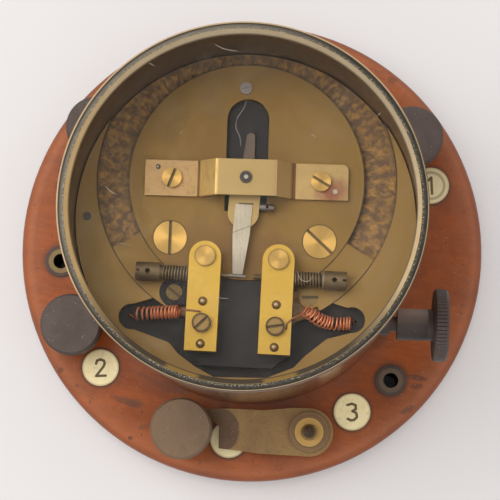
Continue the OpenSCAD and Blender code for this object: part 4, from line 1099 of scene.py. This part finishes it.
# Plain numbers on the inlaid discs, as filled strokes that stand a little proud
digit_strokes = {
    "1": [(-0.9, 1.9), (0.3, 3), (0.3, -3)],
    "2": [(-1.6, 1.5), (-1.2, 2.6), (0, 3), (1.3, 2.5), (1.6, 1.4), (1.0, 0.2), (-1.7, -3), (1.8, -3)],
    "3": [(-1.6, 2.6), (0, 3), (1.4, 2.4), (1.4, 1), (0.1, 0.3), (1.5, -0.4), (1.7, -1.9), (0.6, -2.9),
          (-0.6, -3), (-1.7, -2.4)],
    "4": [(0.9, -3), (0.9, 3), (-1.9, -1.3), (1.9, -1.3)],
    "5": [(1.5, 3), (-1.2, 3), (-1.4, 0.4), (0.2, 0.8), (1.5, 0.1), (1.7, -1.4), (0.8, -2.8), (-0.6, -3),
          (-1.7, -2.4)],
}
stroke_w = 0.92
stroke_sunk = 0.2
stroke_proud = 0.03
stroke_step = 0.002


def number(name, text, centre, turn):
    """A number as one round-ended bar for each stroke; each bar stands a hair above the last."""
    points, faces = [], []
    spin = Matrix.Rotation(math.radians(turn), 3, "Z")
    strokes = digit_strokes[text]
    for part, (start, end) in enumerate(zip(strokes, strokes[1:])):
        a, b = Vector((*start, 0)), Vector((*end, 0))
        along = (b - a).normalized()
        outline = []
        for at, facing in ((b, 0), (a, 180)):
            for k in range(7):
                spread = Matrix.Rotation(math.radians(facing - 90 + 30 * k), 3, "Z") @ along
                outline.append(spin @ (at + spread * stroke_w / 2))
        first = len(points)
        count = len(outline)
        for z in (disc_top_z - stroke_sunk, disc_top_z + stroke_proud + stroke_step * part):
            points += [(centre[0] + p.x, centre[1] + p.y, z) for p in outline]
        faces.append(tuple(first + k for k in reversed(range(count))))
        faces.append(tuple(first + count + k for k in range(count)))
        for k in range(count):
            m = (k + 1) % count
            faces.append((first + k, first + m, first + count + m, first + count + k))
    return add_mesh(name, points, faces, "ivory", "base", ink, smooth=False)


number_turns = {"2": 4, "3": 4, "1": 4, "4": 0, "5": 0}
for angle, (text, turn) in zip(label_angles, number_turns.items()):
    number("disc_number_" + text, text, on_ring(angle), turn)


def fibre(name, knots, z, radius=0.06, body="case"):
    """A hair or a bit of lint, thinner towards its ends, over that height; knots in millimetres."""
    def taper(f):
        return 0.45 + 0.55 * math.sin(math.pi * min(max(f, 0.05), 0.95))
    steps = 30
    knots = [Vector((x, y, z + (drop[0] if drop else 0))) for x, y, *drop in knots]
    route = [bend_along(knots, k / steps) for k in range(steps + 1)]
    points, faces = tube(route, radius, 5, taper)
    return add_mesh(name, points, faces, "ivory", body, lint)


# The hair in the arch hangs from the plate's edge onto the ebonite
arch_hair = [(-0.9, 39.8, 2.7), (-1.8, 37.1, 1), (-3.7, 34.4), (-4.2, 31.0), (-2.8, 27.7), (-2.4, 24.7)]
fibre("hair_arch", arch_hair, plate_z - 2.6, 0.09, "base")
plate_lint_z = plate_z + 0.1
fibre("hair_left", [(-41.0, -8.9), (-40.0, -9.0), (-37.2, -9.5)], plate_lint_z, 0.07, "base")
fibre("lint_left", [(-21.4, 29.0), (-22.3, 27.7)], plate_lint_z, 0.07, "base")
fibre("lint_right", [(20.6, 28.9), (22.2, 27.9)], plate_lint_z, 0.1, "base")
glass_lint_z = glass_z + 0.06
fibre("hair_back", [(-32.8, 44.4), (-30.9, 44.1), (-28.8, 43.1)], glass_lint_z)
fibre("hair_ring", [(-10.5, 50.6), (-7.3, 49.1), (-3.2, 48.5)], glass_lint_z)
fibre("hair_front", [(17.4, -20.0), (18.8, -22.6), (21.1, -22.8), (22.3, -21.2)], glass_lint_z)
fibre("hair_side", [(-42.8, 4.9), (-40.7, 3.0), (-39.1, 2.3)], glass_lint_z)
fibre("lint_back", [(30.2, 45.8), (31.9, 45.5)], glass_lint_z)
fibre("lint_side", [(40.5, 29.1), (41.8, 30.1)], glass_lint_z)
fibre("lint_front", [(-7.3, -28.8), (-3.4, -29.0)], glass_lint_z)

# Camera at the photograph's viewing angle
camera_place = Vector((18.67, -82.55, 719.0))
camera_target = Vector((-0.38, -0.38, 22.0))
camera_roll = math.radians(1.86)
focal_px = 1908.8
frame_px = 500
sensor = 36.0
camera_data = bpy.data.cameras.new("camera")
camera_data.sensor_width = sensor
camera_data.lens = focal_px * sensor / frame_px
camera_data.clip_start = 0.01
camera_data.clip_end = 20
camera = bpy.data.objects.new("camera", camera_data)
bpy.context.scene.collection.objects.link(camera)
ahead = (camera_target - camera_place).normalized()
level_right = ahead.cross(Vector((0, 1, 0))).normalized()
level_up = level_right.cross(ahead)
right = level_right * math.cos(camera_roll) + level_up * math.sin(camera_roll)
up = level_up * math.cos(camera_roll) - level_right * math.sin(camera_roll)
camera_turn = Matrix((right, up, -ahead)).transposed().to_4x4()
camera.matrix_world = Matrix.Translation(camera_place * MM) @ camera_turn
bpy.context.scene.camera = camera


def floor_paint():
    """Pale floor that glows a little outside the part, as painted light, so that its shadow stays soft."""
    p = Paint("floor")
    clouds = p.noise(0.004, 3, 0.5)
    p.base((194, 193, 194), (197, 196, 197), clouds, 0.3, 0.7)
    glow = p.rise(p.reach()[0], 77, 88, 0.3)
    return p.finish(0.85, Emission_Color=srgb(236, 232, 231), Emission_Strength=glow)


def add_floor(half):
    mesh = bpy.data.meshes.new("floor")
    corners = [(-half, -half, 0), (half, -half, 0), (half, half, 0), (-half, half, 0)]
    mesh.from_pydata(corners, [], [(0, 1, 2, 3)])
    mesh.materials.append(floor_paint())
    floor = bpy.data.objects.new("floor", mesh)
    bpy.context.scene.collection.objects.link(floor)


def add_world(light_colour, light_strength, seen_colour):
    """Plain light, which camera, mirror and glass rays see as another plain colour."""
    world = bpy.data.worlds.new("studio")
    bpy.context.scene.world = world
    world.use_nodes = True
    nodes, links = world.node_tree.nodes, world.node_tree.links
    nodes.clear()
    light = nodes.new("ShaderNodeBackground")
    light.inputs["Color"].default_value = light_colour
    light.inputs["Strength"].default_value = light_strength
    seen = nodes.new("ShaderNodeBackground")
    seen.inputs["Color"].default_value = seen_colour
    rays = nodes.new("ShaderNodeLightPath")
    factor = rays.outputs["Is Camera Ray"]
    for kind in ("Is Glossy Ray", "Is Transmission Ray"):
        either = nodes.new("ShaderNodeMath")
        either.operation = "ADD"
        either.use_clamp = True
        links.new(factor, either.inputs[0])
        links.new(rays.outputs[kind], either.inputs[1])
        factor = either.outputs[0]
    chooser = nodes.new("ShaderNodeMixShader")
    links.new(factor, chooser.inputs[0])
    links.new(light.outputs[0], chooser.inputs[1])
    links.new(seen.outputs[0], chooser.inputs[2])
    out = nodes.new("ShaderNodeOutputWorld")
    links.new(chooser.outputs[0], out.inputs[0])


def add_lamp(name, place, target, size_m, watts, colour):
    light = bpy.data.lights.new(name, "AREA")
    light.shape = "DISK"
    light.size = size_m
    light.energy = watts
    light.color = colour
    lamp = bpy.data.objects.new(name, light)
    lamp.location = place
    lamp.rotation_euler = (Vector(target) - Vector(place)).to_track_quat("-Z", "Y").to_euler()
    bpy.context.scene.collection.objects.link(lamp)


add_floor(3.0)
add_world((1.0, 0.975, 0.95, 1), 0.84, (0.84, 0.82, 0.80, 1))
add_lamp("window", (-0.7, 0.3, 1.2), (0, 0, 0.05), 1.1, 8.5, (1.0, 0.98, 0.95))
bpy.context.scene.view_settings.view_transform = "Standard"
